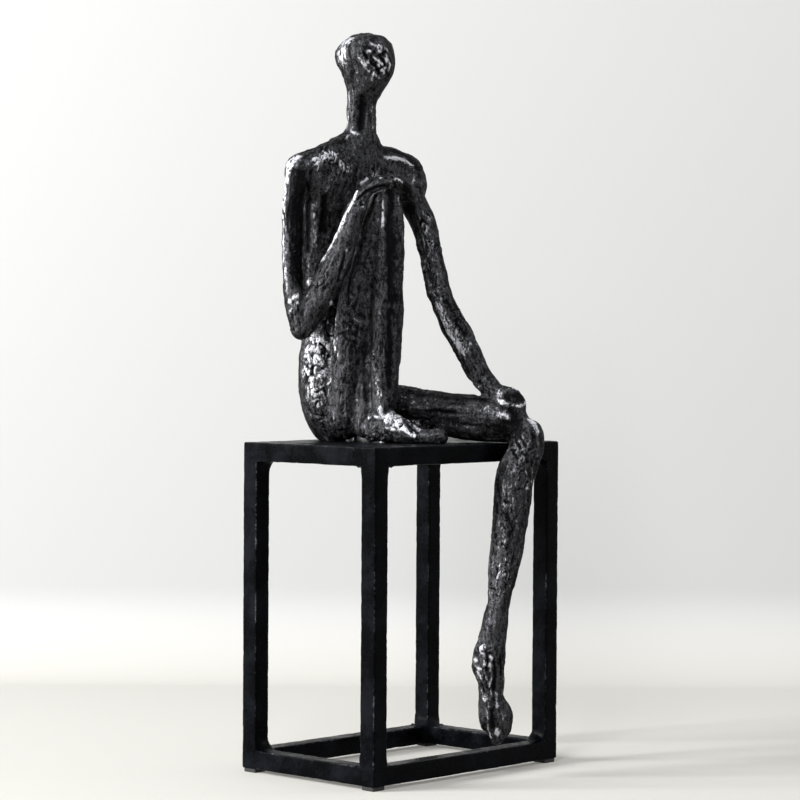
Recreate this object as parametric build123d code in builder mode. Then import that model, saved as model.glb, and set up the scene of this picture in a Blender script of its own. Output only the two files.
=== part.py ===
from build123d import *
import os
from math import cos, hypot, radians, sin

# Seated abstract figure, cast in parts, on an open stand of square bar.
# Frame: millimetres, +Z up, the table at Z = 0, -Y towards the side where one leg hangs down.
# The origin is under the middle of the whole statue, the hanging leg included.

# Stand
STAND_LENGTH = 144.0
STAND_DEPTH = 96.0
STAND_HEIGHT = 172.0
BAR = 10.0
BAR_EDGE = 0.9
PLATE_THICKNESS = 3.0
WELD_LEG = 2.6
PAD_SIDE = 8.6
PAD_HEIGHT = 2.0
PAD_EDGE = 0.4

# Place and turn of the figure on the seat plate
SEAT_X = -15.0
SEAT_INSET = 24.0
FIGURE_TURN = 27.0
SHOULDER_TWIST = 44.0

# Torso
TORSO_HEIGHT = 162.0
CHEST_WIDTH = 65.0
PELVIS_DEPTH = 30.4
LEAN_BACK = 11.9
SIDE_SWAY = 6.6

# Head and neck
HEAD_HEIGHT = 56.2
HEAD_WIDTH = 29.4
HEAD_DEPTH = 32.0
HEAD_NOD = 3.0

# Raised leg
HIP_SPREAD = 14.0
HIP_HEIGHT = 11.0
HIP_RADIUS = 11.6
KNEE_HEIGHT = 127.5
KNEE_FORWARD = 24.6
KNEE_SIDE = 19.0
THIGH_BOW = 5.4
THIGH_WIDTH = 21.0
THIGH_THICKNESS = 20.0
ANKLE_HEIGHT = 14.0
ANKLE_FORWARD = 23.6
ANKLE_SIDE = 20.8
SHIN_WIDTH = 17.0
SHIN_THICKNESS = 16.0
FOOT_LENGTH = 44.5
HEEL_LENGTH = 7.4
FOOT_HEIGHT = 17.0
FOOT_WIDTH = 15.4
SOLE_TRIM = 0.8

# Hanging leg
LAP_THICKNESS = 25.6
LAP_WIDTH = 20.0
LAP_GAP = 1.8
HANG_GAP = 0.8
HANG_KNEE_X = 35.0
HANG_KNEE_HEIGHT = 3.9
HANG_KNEE_RADIUS = 9.0
CALF_WIDTH = 21.0
CALF_THICKNESS = 19.0
SHIN_BOW = 1.2
HANG_ANKLE_X = 5.0
HANG_ANKLE_DROP = 107.0
HANG_ANKLE_RADIUS = 7.6
HANG_FOOT_LENGTH = 50.0
HANG_FOOT_WIDTH = 17.4
HANG_FOOT_THICKNESS = 11.0
TOE_TURN = 42.0
TOE_SWING = 1.5
TOE_OUT = 4.4

# Arms
SHOULDER_DROP = 16.5
SHOULDER_SPAN = 67.0
SHOULDER_RADIUS = 8.4
ARM_THICKNESS = 14.0
RIGHT_ARM_BOW = 5.0
LEFT_ARM_BOW = 0.9
LEFT_FOREARM_BOW = 1.6
RIGHT_ELBOW_HEIGHT = 59.2
RIGHT_ELBOW_BACK = 14.2
RIGHT_ELBOW_SIDE = 43.6
LEFT_ELBOW_HEIGHT = 72.0
LEFT_ELBOW_FORWARD = 50.0
LEFT_ELBOW_SIDE = 6.0
HAND_LENGTH = 23.0
HAND_WIDTH = 13.0
HAND_THICKNESS = 9.4
HAND_RISE = 10.0

# Dowels inside the joints and screws up through the plate
DOWEL_DIAMETER = 4.0
DOWEL_LENGTH = 14.0
SCREW_DIAMETER = 4.0
SCREW_HOLE = 4.6
SCREW_REACH = 7.0
SCREW_HEAD_DIAMETER = 7.6
SCREW_HEAD_HEIGHT = 2.4
SCREW_HEAD_EDGE = 0.5
SEAT_SCREW_SPREAD = 8.0
SEAT_SCREW_FORWARD = 1.0

# Torso sections from the seat up to the neck, each as shares:
# height, half breadth of half the chest, half depth of half the pelvis,
# lean back, sway to the right, and turn of the shoulders.
TORSO_SHARES = (
    (0.000, 0.490, 0.70, 0.14, -0.30, 0.00),
    (0.060, 0.645, 0.92, 0.70, -0.06, 0.03),
    (0.185, 0.735, 1.00, 1.00, 0.04, 0.10),
    (0.330, 0.625, 0.85, 1.00, 0.25, 0.26),
    (0.480, 0.520, 0.64, 0.93, 0.66, 0.52),
    (0.640, 0.605, 0.64, 0.66, 0.95, 0.78),
    (0.800, 0.880, 0.75, 0.12, 1.03, 0.97),
    (0.910, 0.990, 0.77, -0.24, 0.98, 1.00),
    (0.970, 0.690, 0.65, -0.38, 0.92, 1.00),
    (1.000, 0.310, 0.53, -0.50, 0.85, 1.00),
)

# Head and neck sections above the neck joint, each as shares:
# height, half width of half the head, half depth of half the head, nod forward.
HEAD_SHARES = (
    (0.12, 0.535, 0.49, 0.10),
    (0.30, 0.505, 0.48, 0.15),
    (0.43, 0.620, 0.63, 0.50),
    (0.54, 0.865, 0.87, 0.80),
    (0.67, 1.000, 1.00, 0.90),
    (0.80, 0.975, 0.98, 0.75),
    (0.90, 0.780, 0.80, 0.35),
    (0.97, 0.460, 0.48, 0.00),
    (1.00, 0.100, 0.10, -0.10),
)

# Limb sections along a limb's line, each as shares:
# place along the line, then half width and half thickness of half the limb's own.
THIGH_SHARES = (
    (0.00, 1.06, 1.10),
    (0.14, 1.02, 1.06),
    (0.28, 1.00, 1.03),
    (0.44, 1.04, 1.00),
    (0.60, 0.92, 0.94),
    (0.82, 0.80, 0.85),
    (1.00, 0.70, 0.78),
)
SHIN_SHARES = (
    (0.00, 0.86, 0.92),
    (0.20, 0.95, 0.96),
    (0.45, 1.00, 1.00),
    (0.65, 0.96, 0.95),
    (0.82, 0.82, 0.80),
    (1.00, 0.66, 0.68),
)
FOOT_SHARES = (
    (0.00, 0.30, 0.34),
    (0.06, 0.62, 0.66),
    (0.18, 0.78, 0.98),
    (0.34, 0.84, 0.92),
    (0.52, 0.92, 0.70),
    (0.70, 1.00, 0.59),
    (0.86, 0.94, 0.52),
    (0.96, 0.66, 0.40),
    (1.00, 0.30, 0.22),
)
LAP_SHARES = (
    (0.00, 0.72, 0.80),
    (0.10, 0.90, 0.96),
    (0.28, 1.00, 1.00),
    (0.52, 0.96, 0.97),
    (0.72, 0.90, 0.92),
    (0.88, 0.80, 0.80),
    (1.00, 0.74, 0.58),
)
CALF_SHARES = (
    (0.00, 0.82, 0.84),
    (0.18, 1.04, 1.00),
    (0.34, 0.98, 0.98),
    (0.54, 0.84, 0.86),
    (0.72, 0.68, 0.70),
    (0.86, 0.63, 0.65),
    (1.00, 0.72, 0.74),
)
HANG_FOOT_SHARES = (
    (0.00, 0.84, 1.18),
    (0.20, 0.96, 1.18),
    (0.44, 0.84, 1.00),
    (0.64, 0.98, 0.94),
    (0.82, 0.88, 0.80),
    (0.94, 0.56, 0.60),
    (1.00, 0.20, 0.24),
)
UPPER_ARM_SHARES = (
    (0.00, 0.98, 1.02),
    (0.22, 0.84, 0.98),
    (0.50, 0.76, 0.92),
    (0.78, 0.78, 0.90),
    (1.00, 0.86, 0.92),
)
FOREARM_SHARES = (
    (0.00, 0.92, 0.92),
    (0.22, 1.00, 0.92),
    (0.50, 0.92, 0.86),
    (0.80, 0.74, 0.76),
    (1.00, 0.70, 0.72),
)
LEFT_ARM_SHARES = (
    (0.00, 1.02, 1.02),
    (0.14, 0.98, 1.00),
    (0.30, 1.02, 1.00),
    (0.46, 0.98, 0.96),
    (0.60, 0.92, 0.90),
    (0.72, 0.94, 0.86),
    (0.86, 0.80, 0.76),
    (1.00, 0.70, 0.70),
)
HAND_SHARES = (
    (0.00, 0.74, 1.02),
    (0.22, 0.92, 1.00),
    (0.50, 1.00, 1.00),
    (0.76, 0.86, 0.86),
    (0.92, 0.58, 0.60),
    (1.00, 0.26, 0.28),
)

# Points of the hands from the middle of the knee under them, as shares of the hand's length
# forward and to the left, and of the hand's rise upward
RIGHT_HAND_SHARES = ((-0.30, -0.44, 0.45), (0.00, -0.19, 1.00), (0.36, 0.10, 0.84))
LEFT_HAND_SHARES = ((-1.00, -0.02, 2.50), (-0.60, 0.00, 2.04), (-0.06, 0.02, 1.68))

# Points of the thigh that lies over the plate: share of the way to the knee, and height
# as a share of its height at the hip
LAP_LINE_SHARES = ((0.28, 1.02), (0.56, 0.98), (0.78, 0.92))

# How far the hollow face of a weld stands out, as a share of the line between its toes
WELD_SHARE = 0.42

# How far an oval's quarters lean in where they meet, which leaves a faint ridge along a limb
RIDGE_SHARE = 0.04

# Levels and places worked out from the sizes above
SEAT_LEVEL = PAD_HEIGHT + STAND_HEIGHT
HIPS_SHARES = TORSO_SHARES[2]
HIPS_ANGLE = radians(FIGURE_TURN - SHOULDER_TWIST * HIPS_SHARES[5])
HIPS_REACH = LEAN_BACK * cos(radians(FIGURE_TURN)) + hypot(
    CHEST_WIDTH / 2 * HIPS_SHARES[1] * sin(HIPS_ANGLE), PELVIS_DEPTH / 2 * cos(HIPS_ANGLE)
)
REAR_OVERHANG = max(HIPS_REACH - SEAT_INSET, 0)
STAND_Y = (HANG_GAP + CALF_THICKNESS - REAR_OVERHANG) / 2
FRONT_FACE_Y = STAND_Y - STAND_DEPTH / 2
SEAT_Y = STAND_Y + STAND_DEPTH / 2 - SEAT_INSET
HANG_Y = FRONT_FACE_Y - HANG_GAP - CALF_THICKNESS / 2
LAP_LEVEL = LAP_GAP + LAP_THICKNESS / 2

FORWARD = Vector(sin(radians(FIGURE_TURN)), -cos(radians(FIGURE_TURN)))
LEFT = Vector(cos(radians(FIGURE_TURN)), sin(radians(FIGURE_TURN)))
UP = Vector(0, 0, 1)
SHOULDER_ANGLE = FIGURE_TURN - SHOULDER_TWIST
SHOULDER_LEFT = Vector(cos(radians(SHOULDER_ANGLE)), sin(radians(SHOULDER_ANGLE)))


def figure_point(forward, left, height):
    """Point given from the hips: forward, to the figure's left, and above the seat."""
    return Vector(SEAT_X, SEAT_Y, SEAT_LEVEL) + FORWARD * forward + LEFT * left + UP * height


def oval(plane, half_width, half_depth):
    """Face with an oval outline of four like curves that meet on the plane's own axes."""
    diagonal = cos(radians(45))
    with BuildSketch(plane) as section:
        with BuildLine():
            for x_sign, y_sign in ((1, 1), (-1, 1), (-1, -1), (1, -1)):
                side = Vector(half_width * x_sign, 0)
                top = Vector(0, half_depth * y_sign)
                ends = (side, top) if x_sign == y_sign else (top, side)
                middle = (side + top) * diagonal
                leaving = ends[1] - ends[0] * RIDGE_SHARE
                arriving = ends[1] * RIDGE_SHARE - ends[0]
                Spline(ends[0], middle, ends[1], tangents=(leaving, arriving))
        make_face()
    return section.sketch.face()


def limb_line(*points):
    """Smooth line through the middle of a limb."""
    with BuildLine() as line:
        Spline(*points)
    return line.line.edge()


def loft_along(line, side, half_width, half_thickness, shares):
    """Solid through ovals set square to a line, each oval's width lying towards side."""
    sections = []
    for place_share, width_share, thickness_share in shares:
        along = line.tangent_at(place_share)
        across = side - along * side.dot(along)
        square = Plane(line.position_at(place_share), x_dir=across, z_dir=along)
        sections.append(oval(square, half_width * width_share, half_thickness * thickness_share))
    loft(sections)


def add_ball(centre, radius):
    """Rounded knob where two lengths of a limb meet."""
    with Locations(centre):
        Sphere(radius)


def torso_plane(row):
    """Level plane of one torso section, turned part of the way to the shoulders."""
    height_share, _, _, lean_share, sway_share, turn_share = row
    angle = radians(FIGURE_TURN - SHOULDER_TWIST * turn_share)
    middle = figure_point(
        -LEAN_BACK * lean_share, -SIDE_SWAY * sway_share, TORSO_HEIGHT * height_share
    )
    return Plane(middle, x_dir=(cos(angle), sin(angle), 0), z_dir=UP)


def torso_section(row):
    """Face of one torso section."""
    return oval(torso_plane(row), CHEST_WIDTH / 2 * row[1], PELVIS_DEPTH / 2 * row[2])


def hand_points(knee, shares):
    """Points through a hand that lies on a knee."""
    return [
        knee
        + FORWARD * (HAND_LENGTH * forward_share)
        + LEFT * (HAND_LENGTH * left_share)
        + UP * (HAND_RISE * rise_share)
        for forward_share, left_share, rise_share in shares
    ]


# Joint points of the figure
NECK_PLANE = torso_plane(TORSO_SHARES[-1])
NECK_BASE = NECK_PLANE.origin
SHOULDER_MIDDLE = NECK_BASE - FORWARD * HEAD_NOD - UP * SHOULDER_DROP
RIGHT_SHOULDER = SHOULDER_MIDDLE - SHOULDER_LEFT * (SHOULDER_SPAN / 2)
LEFT_SHOULDER = SHOULDER_MIDDLE + SHOULDER_LEFT * (SHOULDER_SPAN / 2)
RIGHT_ELBOW = figure_point(-RIGHT_ELBOW_BACK, -RIGHT_ELBOW_SIDE, RIGHT_ELBOW_HEIGHT)
LEFT_ELBOW = figure_point(LEFT_ELBOW_FORWARD, LEFT_ELBOW_SIDE, LEFT_ELBOW_HEIGHT)
RIGHT_HIP = figure_point(0, -HIP_SPREAD, HIP_HEIGHT)
LEFT_HIP = figure_point(-LEAN_BACK / 2, HIP_SPREAD, LAP_LEVEL)
RIGHT_KNEE = figure_point(KNEE_FORWARD, -KNEE_SIDE, KNEE_HEIGHT)
RIGHT_ANKLE = figure_point(ANKLE_FORWARD, -ANKLE_SIDE, ANKLE_HEIGHT)
LEFT_KNEE = Vector(HANG_KNEE_X, HANG_Y, SEAT_LEVEL + HANG_KNEE_HEIGHT)
LEFT_ANKLE = Vector(HANG_ANKLE_X, HANG_Y, SEAT_LEVEL - HANG_ANKLE_DROP)
LEFT_TOE = LEFT_ANKLE + Vector(TOE_OUT, -TOE_SWING, -HANG_FOOT_LENGTH)

# Dowels: where each one is centred and which way it lies
HIP_JOINT_FORWARD = PELVIS_DEPTH / 2 - LEAN_BACK
DOWEL_PLANES = {
    "neck": Plane(NECK_BASE, z_dir=UP),
    "right_shoulder": Plane(
        RIGHT_SHOULDER + SHOULDER_LEFT * (DOWEL_LENGTH / 2), z_dir=SHOULDER_LEFT
    ),
    "left_shoulder": Plane(
        LEFT_SHOULDER - SHOULDER_LEFT * (DOWEL_LENGTH / 2), z_dir=SHOULDER_LEFT
    ),
    "right_hip": Plane(figure_point(HIP_JOINT_FORWARD, -HIP_SPREAD, LAP_LEVEL), z_dir=FORWARD),
    "left_hip": Plane(figure_point(HIP_JOINT_FORWARD, HIP_SPREAD, LAP_LEVEL), z_dir=FORWARD),
}

# Screws: the points on the seat that they pass through
SCREW_POINTS = (
    figure_point(SEAT_SCREW_FORWARD, -SEAT_SCREW_SPREAD, 0),
    figure_point(SEAT_SCREW_FORWARD, SEAT_SCREW_SPREAD, 0),
    figure_point(ANKLE_FORWARD, -ANKLE_SIDE, 0),
)


def cut_dowel_holes(*joints):
    """Blind holes for the dowels of the joints that a casting has."""
    for joint in joints:
        with Locations(DOWEL_PLANES[joint]):
            Cylinder(DOWEL_DIAMETER / 2, DOWEL_LENGTH, mode=Mode.SUBTRACT)


def cut_screw_holes(*points):
    """Blind tapped holes up from the seat, left at the screw's own diameter."""
    for point in points:
        with Locations(point):
            Cylinder(SCREW_DIAMETER / 2, SCREW_REACH * 2, mode=Mode.SUBTRACT)


def save(piece, label):
    """Names a finished piece and writes its file."""
    piece.part.label = label
    export_step(piece.part, f"parts/{label}.step")


os.makedirs("parts", exist_ok=True)

# Torso with pelvis, waist, chest and the slope of the shoulders
with BuildPart() as torso:
    loft([torso_section(row) for row in TORSO_SHARES])
    torso_form = torso.part
    cut_dowel_holes(*DOWEL_PLANES)
    cut_screw_holes(*SCREW_POINTS[:2])
save(torso, "torso")

# Head with neck, seated on the torso at the neck joint
with BuildPart() as head_neck:
    head_sections = [torso_section(TORSO_SHARES[-1])]
    for height_share, width_share, depth_share, nod_share in HEAD_SHARES:
        middle = NECK_BASE + UP * (HEAD_HEIGHT * height_share) + FORWARD * (HEAD_NOD * nod_share)
        level = Plane(middle, x_dir=SHOULDER_LEFT, z_dir=UP)
        head_sections.append(oval(level, HEAD_WIDTH / 2 * width_share, HEAD_DEPTH / 2 * depth_share))
    loft(head_sections)
    cut_dowel_holes("neck")
save(head_neck, "head_neck")

# Raised leg: thigh, knee, shin and a foot flat on the plate, coped to the pelvis
with BuildPart() as right_leg:
    thigh_middle = (RIGHT_HIP + RIGHT_KNEE) / 2 - FORWARD * THIGH_BOW
    thigh_line = limb_line(RIGHT_HIP, thigh_middle, RIGHT_KNEE)
    loft_along(thigh_line, FORWARD, THIGH_WIDTH / 2, THIGH_THICKNESS / 2, THIGH_SHARES)
    add_ball(RIGHT_HIP, HIP_RADIUS)
    shin_line = limb_line(RIGHT_KNEE, (RIGHT_KNEE + RIGHT_ANKLE) / 2, RIGHT_ANKLE)
    loft_along(shin_line, FORWARD, SHIN_WIDTH / 2, SHIN_THICKNESS / 2, SHIN_SHARES)
    add_ball(RIGHT_KNEE, SHIN_WIDTH / 2)
    foot_sections = []
    for place_share, width_share, height_share in FOOT_SHARES:
        half_height = FOOT_HEIGHT / 2 * height_share
        middle = figure_point(
            ANKLE_FORWARD - HEEL_LENGTH + FOOT_LENGTH * place_share,
            -ANKLE_SIDE,
            half_height - SOLE_TRIM,
        )
        upright = Plane(middle, x_dir=LEFT, z_dir=FORWARD)
        foot_sections.append(oval(upright, FOOT_WIDTH / 2 * width_share, half_height))
    loft(foot_sections)
    split(bisect_by=Plane.XY.offset(SEAT_LEVEL), keep=Keep.TOP)
    add(torso_form, mode=Mode.SUBTRACT)
    right_leg_form = right_leg.part
    cut_dowel_holes("right_hip")
    cut_screw_holes(SCREW_POINTS[2])
save(right_leg, "right_leg")

# Hanging leg: thigh along the plate, knee past its edge, shin and a foot with its toes down
with BuildPart() as left_leg:
    lap_points = []
    for way_share, height_share in LAP_LINE_SHARES:
        point = LEFT_HIP + (LEFT_KNEE - LEFT_HIP) * way_share
        lap_points.append(Vector(point.X, point.Y, SEAT_LEVEL + LAP_LEVEL * height_share))
    lap_side = UP.cross(LEFT_KNEE - LEFT_HIP).normalized()
    lap_line = limb_line(LEFT_HIP, *lap_points, LEFT_KNEE)
    loft_along(lap_line, lap_side, LAP_WIDTH / 2, LAP_THICKNESS / 2, LAP_SHARES)
    add_ball(LEFT_KNEE, HANG_KNEE_RADIUS)
    calf_middle = (LEFT_KNEE + LEFT_ANKLE) / 2 - Vector(SHIN_BOW, 0)
    calf_line = limb_line(LEFT_KNEE, calf_middle, LEFT_ANKLE)
    loft_along(calf_line, Vector(1, 0), CALF_WIDTH / 2, CALF_THICKNESS / 2, CALF_SHARES)
    add_ball(LEFT_ANKLE, HANG_ANKLE_RADIUS)
    toe_side = Vector(cos(radians(TOE_TURN)), -sin(radians(TOE_TURN)))
    foot_line = limb_line(LEFT_ANKLE, (LEFT_ANKLE + LEFT_TOE) / 2, LEFT_TOE)
    loft_along(
        foot_line, toe_side, HANG_FOOT_WIDTH / 2, HANG_FOOT_THICKNESS / 2, HANG_FOOT_SHARES
    )
    add(torso_form, mode=Mode.SUBTRACT)
    add(right_leg_form, mode=Mode.SUBTRACT)
    left_leg_form = left_leg.part
    cut_dowel_holes("left_hip")
save(left_leg, "left_leg")

# Right arm: bent tight, its hand over the raised knee
with BuildPart() as right_arm:
    add_ball(RIGHT_SHOULDER, SHOULDER_RADIUS)
    arm_middle = (RIGHT_SHOULDER + RIGHT_ELBOW) / 2 - FORWARD * RIGHT_ARM_BOW
    arm_line = limb_line(RIGHT_SHOULDER, arm_middle, RIGHT_ELBOW)
    loft_along(arm_line, FORWARD, ARM_THICKNESS / 2, ARM_THICKNESS / 2, UPPER_ARM_SHARES)
    add_ball(RIGHT_ELBOW, ARM_THICKNESS / 2)
    right_hand = hand_points(RIGHT_KNEE, RIGHT_HAND_SHARES)
    forearm_line = limb_line(RIGHT_ELBOW, (RIGHT_ELBOW + right_hand[0]) / 2, right_hand[0])
    loft_along(forearm_line, FORWARD, ARM_THICKNESS / 2, ARM_THICKNESS / 2, FOREARM_SHARES)
    loft_along(limb_line(*right_hand), UP, HAND_THICKNESS / 2, HAND_WIDTH / 2, HAND_SHARES)
    add(torso_form, mode=Mode.SUBTRACT)
    add(right_leg_form, mode=Mode.SUBTRACT)
    cut_dowel_holes("right_shoulder")
save(right_arm, "right_arm")

# Left arm: long and nearly straight, its hand on the other knee
with BuildPart() as left_arm:
    add_ball(LEFT_SHOULDER, SHOULDER_RADIUS)
    left_hand = hand_points(LEFT_KNEE, LEFT_HAND_SHARES)
    upper_middle = (LEFT_SHOULDER + LEFT_ELBOW) / 2 + FORWARD * LEFT_ARM_BOW
    lower_middle = (LEFT_ELBOW + left_hand[0]) / 2 + FORWARD * LEFT_FOREARM_BOW
    left_arm_line = limb_line(
        LEFT_SHOULDER, upper_middle, LEFT_ELBOW, lower_middle, left_hand[0]
    )
    loft_along(left_arm_line, FORWARD, ARM_THICKNESS / 2, ARM_THICKNESS / 2, LEFT_ARM_SHARES)
    loft_along(limb_line(*left_hand), UP, HAND_THICKNESS / 2, HAND_WIDTH / 2, HAND_SHARES)
    add(torso_form, mode=Mode.SUBTRACT)
    add(left_leg_form, mode=Mode.SUBTRACT)
    cut_dowel_holes("left_shoulder")
save(left_arm, "left_arm")

# Dowels in the neck, shoulders and hips
with BuildPart() as joint_dowels:
    for joint_plane in DOWEL_PLANES.values():
        with Locations(joint_plane):
            Cylinder(DOWEL_DIAMETER / 2, DOWEL_LENGTH)
save(joint_dowels, "joint_dowels")

# Screws with pan heads under the plate, up into the pelvis and the flat foot
with BuildPart() as fixing_screws:
    plate_bottom = SEAT_LEVEL - PLATE_THICKNESS
    for point in SCREW_POINTS:
        with BuildSketch(Plane((point.X, point.Y, plate_bottom - SCREW_HEAD_HEIGHT))):
            Circle(SCREW_HEAD_DIAMETER / 2)
        extrude(amount=SCREW_HEAD_HEIGHT)
        with BuildSketch(Plane((point.X, point.Y, plate_bottom))):
            Circle(SCREW_DIAMETER / 2)
        extrude(amount=PLATE_THICKNESS + SCREW_REACH)
    head_rims = fixing_screws.edges().filter_by(GeomType.CIRCLE)
    chamfer(head_rims.group_by(Axis.Z)[0], SCREW_HEAD_EDGE)
save(fixing_screws, "fixing_screws")

# Seat plate let in between the top rails
with BuildPart() as seat_plate:
    with BuildSketch(Plane((0, STAND_Y, SEAT_LEVEL - PLATE_THICKNESS))):
        Rectangle(STAND_LENGTH - BAR * 2, STAND_DEPTH - BAR * 2)
    extrude(amount=PLATE_THICKNESS)
    for point in SCREW_POINTS:
        with Locations(point):
            Hole(SCREW_HOLE / 2)
save(seat_plate, "seat_plate")

# Posts at the corners and the foot pads under them
POST_X = STAND_LENGTH / 2 - BAR / 2
POST_Y = STAND_DEPTH / 2 - BAR / 2
CORNERS = {
    "front_left": (-1, -1),
    "front_right": (1, -1),
    "rear_left": (-1, 1),
    "rear_right": (1, 1),
}
for corner, (x_side, y_side) in CORNERS.items():
    post_x = POST_X * x_side
    post_y = STAND_Y + POST_Y * y_side
    with BuildPart() as post:
        with BuildSketch(Plane((post_x, post_y, PAD_HEIGHT))):
            RectangleRounded(BAR, BAR, BAR_EDGE)
        extrude(amount=STAND_HEIGHT)
    save(post, f"post_{corner}")
    with BuildPart() as foot_pad:
        with BuildSketch(Plane((post_x, post_y, 0))):
            RectangleRounded(PAD_SIDE, PAD_SIDE, BAR_EDGE)
        extrude(amount=PAD_HEIGHT)
        chamfer(foot_pad.faces().sort_by(Axis.Z)[0].edges(), PAD_EDGE)
    save(foot_pad, f"foot_pad_{corner}")

# Rails between the posts, along the front, the rear and both ends, low and high
RAIL_LEVELS = {"bottom": PAD_HEIGHT + BAR / 2, "top": SEAT_LEVEL - BAR / 2}
for level, rail_z in RAIL_LEVELS.items():
    for name, y_side in (("front", -1), ("rear", 1)):
        start = (BAR - STAND_LENGTH / 2, STAND_Y + POST_Y * y_side, rail_z)
        with BuildPart() as rail:
            with BuildSketch(Plane(start, z_dir=(1, 0, 0))):
                RectangleRounded(BAR, BAR, BAR_EDGE)
            extrude(amount=STAND_LENGTH - BAR * 2)
        save(rail, f"{level}_rail_{name}")
    for name, x_side in (("left", -1), ("right", 1)):
        start = (POST_X * x_side, STAND_Y + BAR - STAND_DEPTH / 2, rail_z)
        with BuildPart() as rail:
            with BuildSketch(Plane(start, z_dir=(0, 1, 0))):
                RectangleRounded(BAR, BAR, BAR_EDGE)
            extrude(amount=STAND_DEPTH - BAR * 2)
        save(rail, f"{level}_rail_{name}")

# Weld beads in the inner corner between each rail and its post
BEAD_LENGTH = BAR - BAR_EDGE * 2
with BuildPart() as weld_beads:
    for x_side, y_side in CORNERS.values():
        for bead_z, z_side in ((PAD_HEIGHT + BAR, 1), (SEAT_LEVEL - BAR, -1)):
            inner_x = (STAND_LENGTH / 2 - BAR) * x_side
            inner_y = STAND_Y + (STAND_DEPTH / 2 - BAR) * y_side
            middle_x = POST_X * x_side
            middle_y = STAND_Y + POST_Y * y_side
            for corner_point, inward, run in (
                ((inner_x, middle_y, bead_z), (-x_side, 0, 0), (0, 1, 0)),
                ((middle_x, inner_y, bead_z), (0, -y_side, 0), (1, 0, 0)),
            ):
                inward = Vector(*inward)
                upward = UP * z_side
                section = Plane(corner_point, x_dir=inward, z_dir=run)
                toe = Vector(WELD_LEG, 0)
                top = section.to_local_coords(section.origin + upward * WELD_LEG)
                with BuildSketch(section):
                    with BuildLine():
                        Polyline(toe, (0, 0), top)
                        Spline(top, (top + toe) * WELD_SHARE, toe)
                    make_face()
                extrude(amount=BEAD_LENGTH / 2, both=True)
save(weld_beads, "weld_beads")
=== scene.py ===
"""Dresses the seated figure ornament: rough cast figure, welded bar stand, studio and camera.

The figure is modelled as limbs, each an oval profile carried along a smooth line. The limbs are
fused into one skin, softened, given its cast relief and divided again into the six castings.
The stand's bars are one welded skin; the plate, the pads and the fixings keep their own meshes.
"""

from __future__ import annotations

import logging
import math
from dataclasses import dataclass, field
from enum import Enum

import bpy
import numpy as np
from mathutils import Matrix, Vector

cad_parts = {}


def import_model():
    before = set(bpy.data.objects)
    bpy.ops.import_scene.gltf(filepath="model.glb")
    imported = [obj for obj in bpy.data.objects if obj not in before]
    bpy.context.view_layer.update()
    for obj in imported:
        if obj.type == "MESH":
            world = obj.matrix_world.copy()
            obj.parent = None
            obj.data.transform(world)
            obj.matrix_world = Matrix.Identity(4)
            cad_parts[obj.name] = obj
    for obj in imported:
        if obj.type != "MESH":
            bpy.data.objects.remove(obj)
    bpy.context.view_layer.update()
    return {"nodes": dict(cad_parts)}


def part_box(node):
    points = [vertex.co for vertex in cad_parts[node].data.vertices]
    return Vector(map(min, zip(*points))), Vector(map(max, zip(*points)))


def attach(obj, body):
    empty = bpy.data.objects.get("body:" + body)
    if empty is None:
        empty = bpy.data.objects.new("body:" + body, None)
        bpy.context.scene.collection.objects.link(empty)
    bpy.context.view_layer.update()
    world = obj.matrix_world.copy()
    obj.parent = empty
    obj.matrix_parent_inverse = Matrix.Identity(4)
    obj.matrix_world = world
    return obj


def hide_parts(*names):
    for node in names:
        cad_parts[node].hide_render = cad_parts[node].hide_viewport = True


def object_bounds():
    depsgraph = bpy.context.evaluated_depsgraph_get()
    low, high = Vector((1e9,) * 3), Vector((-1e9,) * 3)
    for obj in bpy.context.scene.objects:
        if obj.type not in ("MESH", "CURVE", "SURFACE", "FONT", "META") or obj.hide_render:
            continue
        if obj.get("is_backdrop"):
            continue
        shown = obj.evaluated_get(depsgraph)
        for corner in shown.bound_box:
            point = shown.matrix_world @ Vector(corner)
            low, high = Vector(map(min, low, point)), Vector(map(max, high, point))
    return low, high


LOG = logging.getLogger("statue")
MM = 0.001
UP = np.array([0.0, 0.0, 1.0])
Triple = tuple[float, float, float]
Span = tuple[float, float]
Materials = dict[str, bpy.types.Material]

NOISE_TABLE = 256  # directions to draw from, a power of two
NOISE_GAIN = 1.6  # brings gradient noise to about -1 to 1
THINNEST = 0.4  # least half size of a limb's section, in mm
FEWEST_RINGS = 8
FLUTE_FADE = 0.12  # share of a flute's length over which it fades in and out
DOME_LIFTS = np.radians(np.array([22.0, 44.0, 64.0, 80.0]))  # rings of a limb's closed end
MEASURED_SECTIONS = 36  # sections of a limb that distances are taken from
MEASURED_MARGIN = 14.0  # mm outside a limb's box within which distances are taken
FAR = 34.0  # mm, stands for every distance beyond that margin
BELL_REACH = 3.0  # widths of a stroke beyond which its bell is nothing


class Casting(Enum):
    """The castings that make up the figure, by the names of their nodes."""

    TORSO = "torso"
    HEAD = "head_neck"
    RIGHT_LEG = "right_leg"
    LEFT_LEG = "left_leg"
    RIGHT_ARM = "right_arm"
    LEFT_ARM = "left_arm"


# ---- shared shape functions


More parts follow.
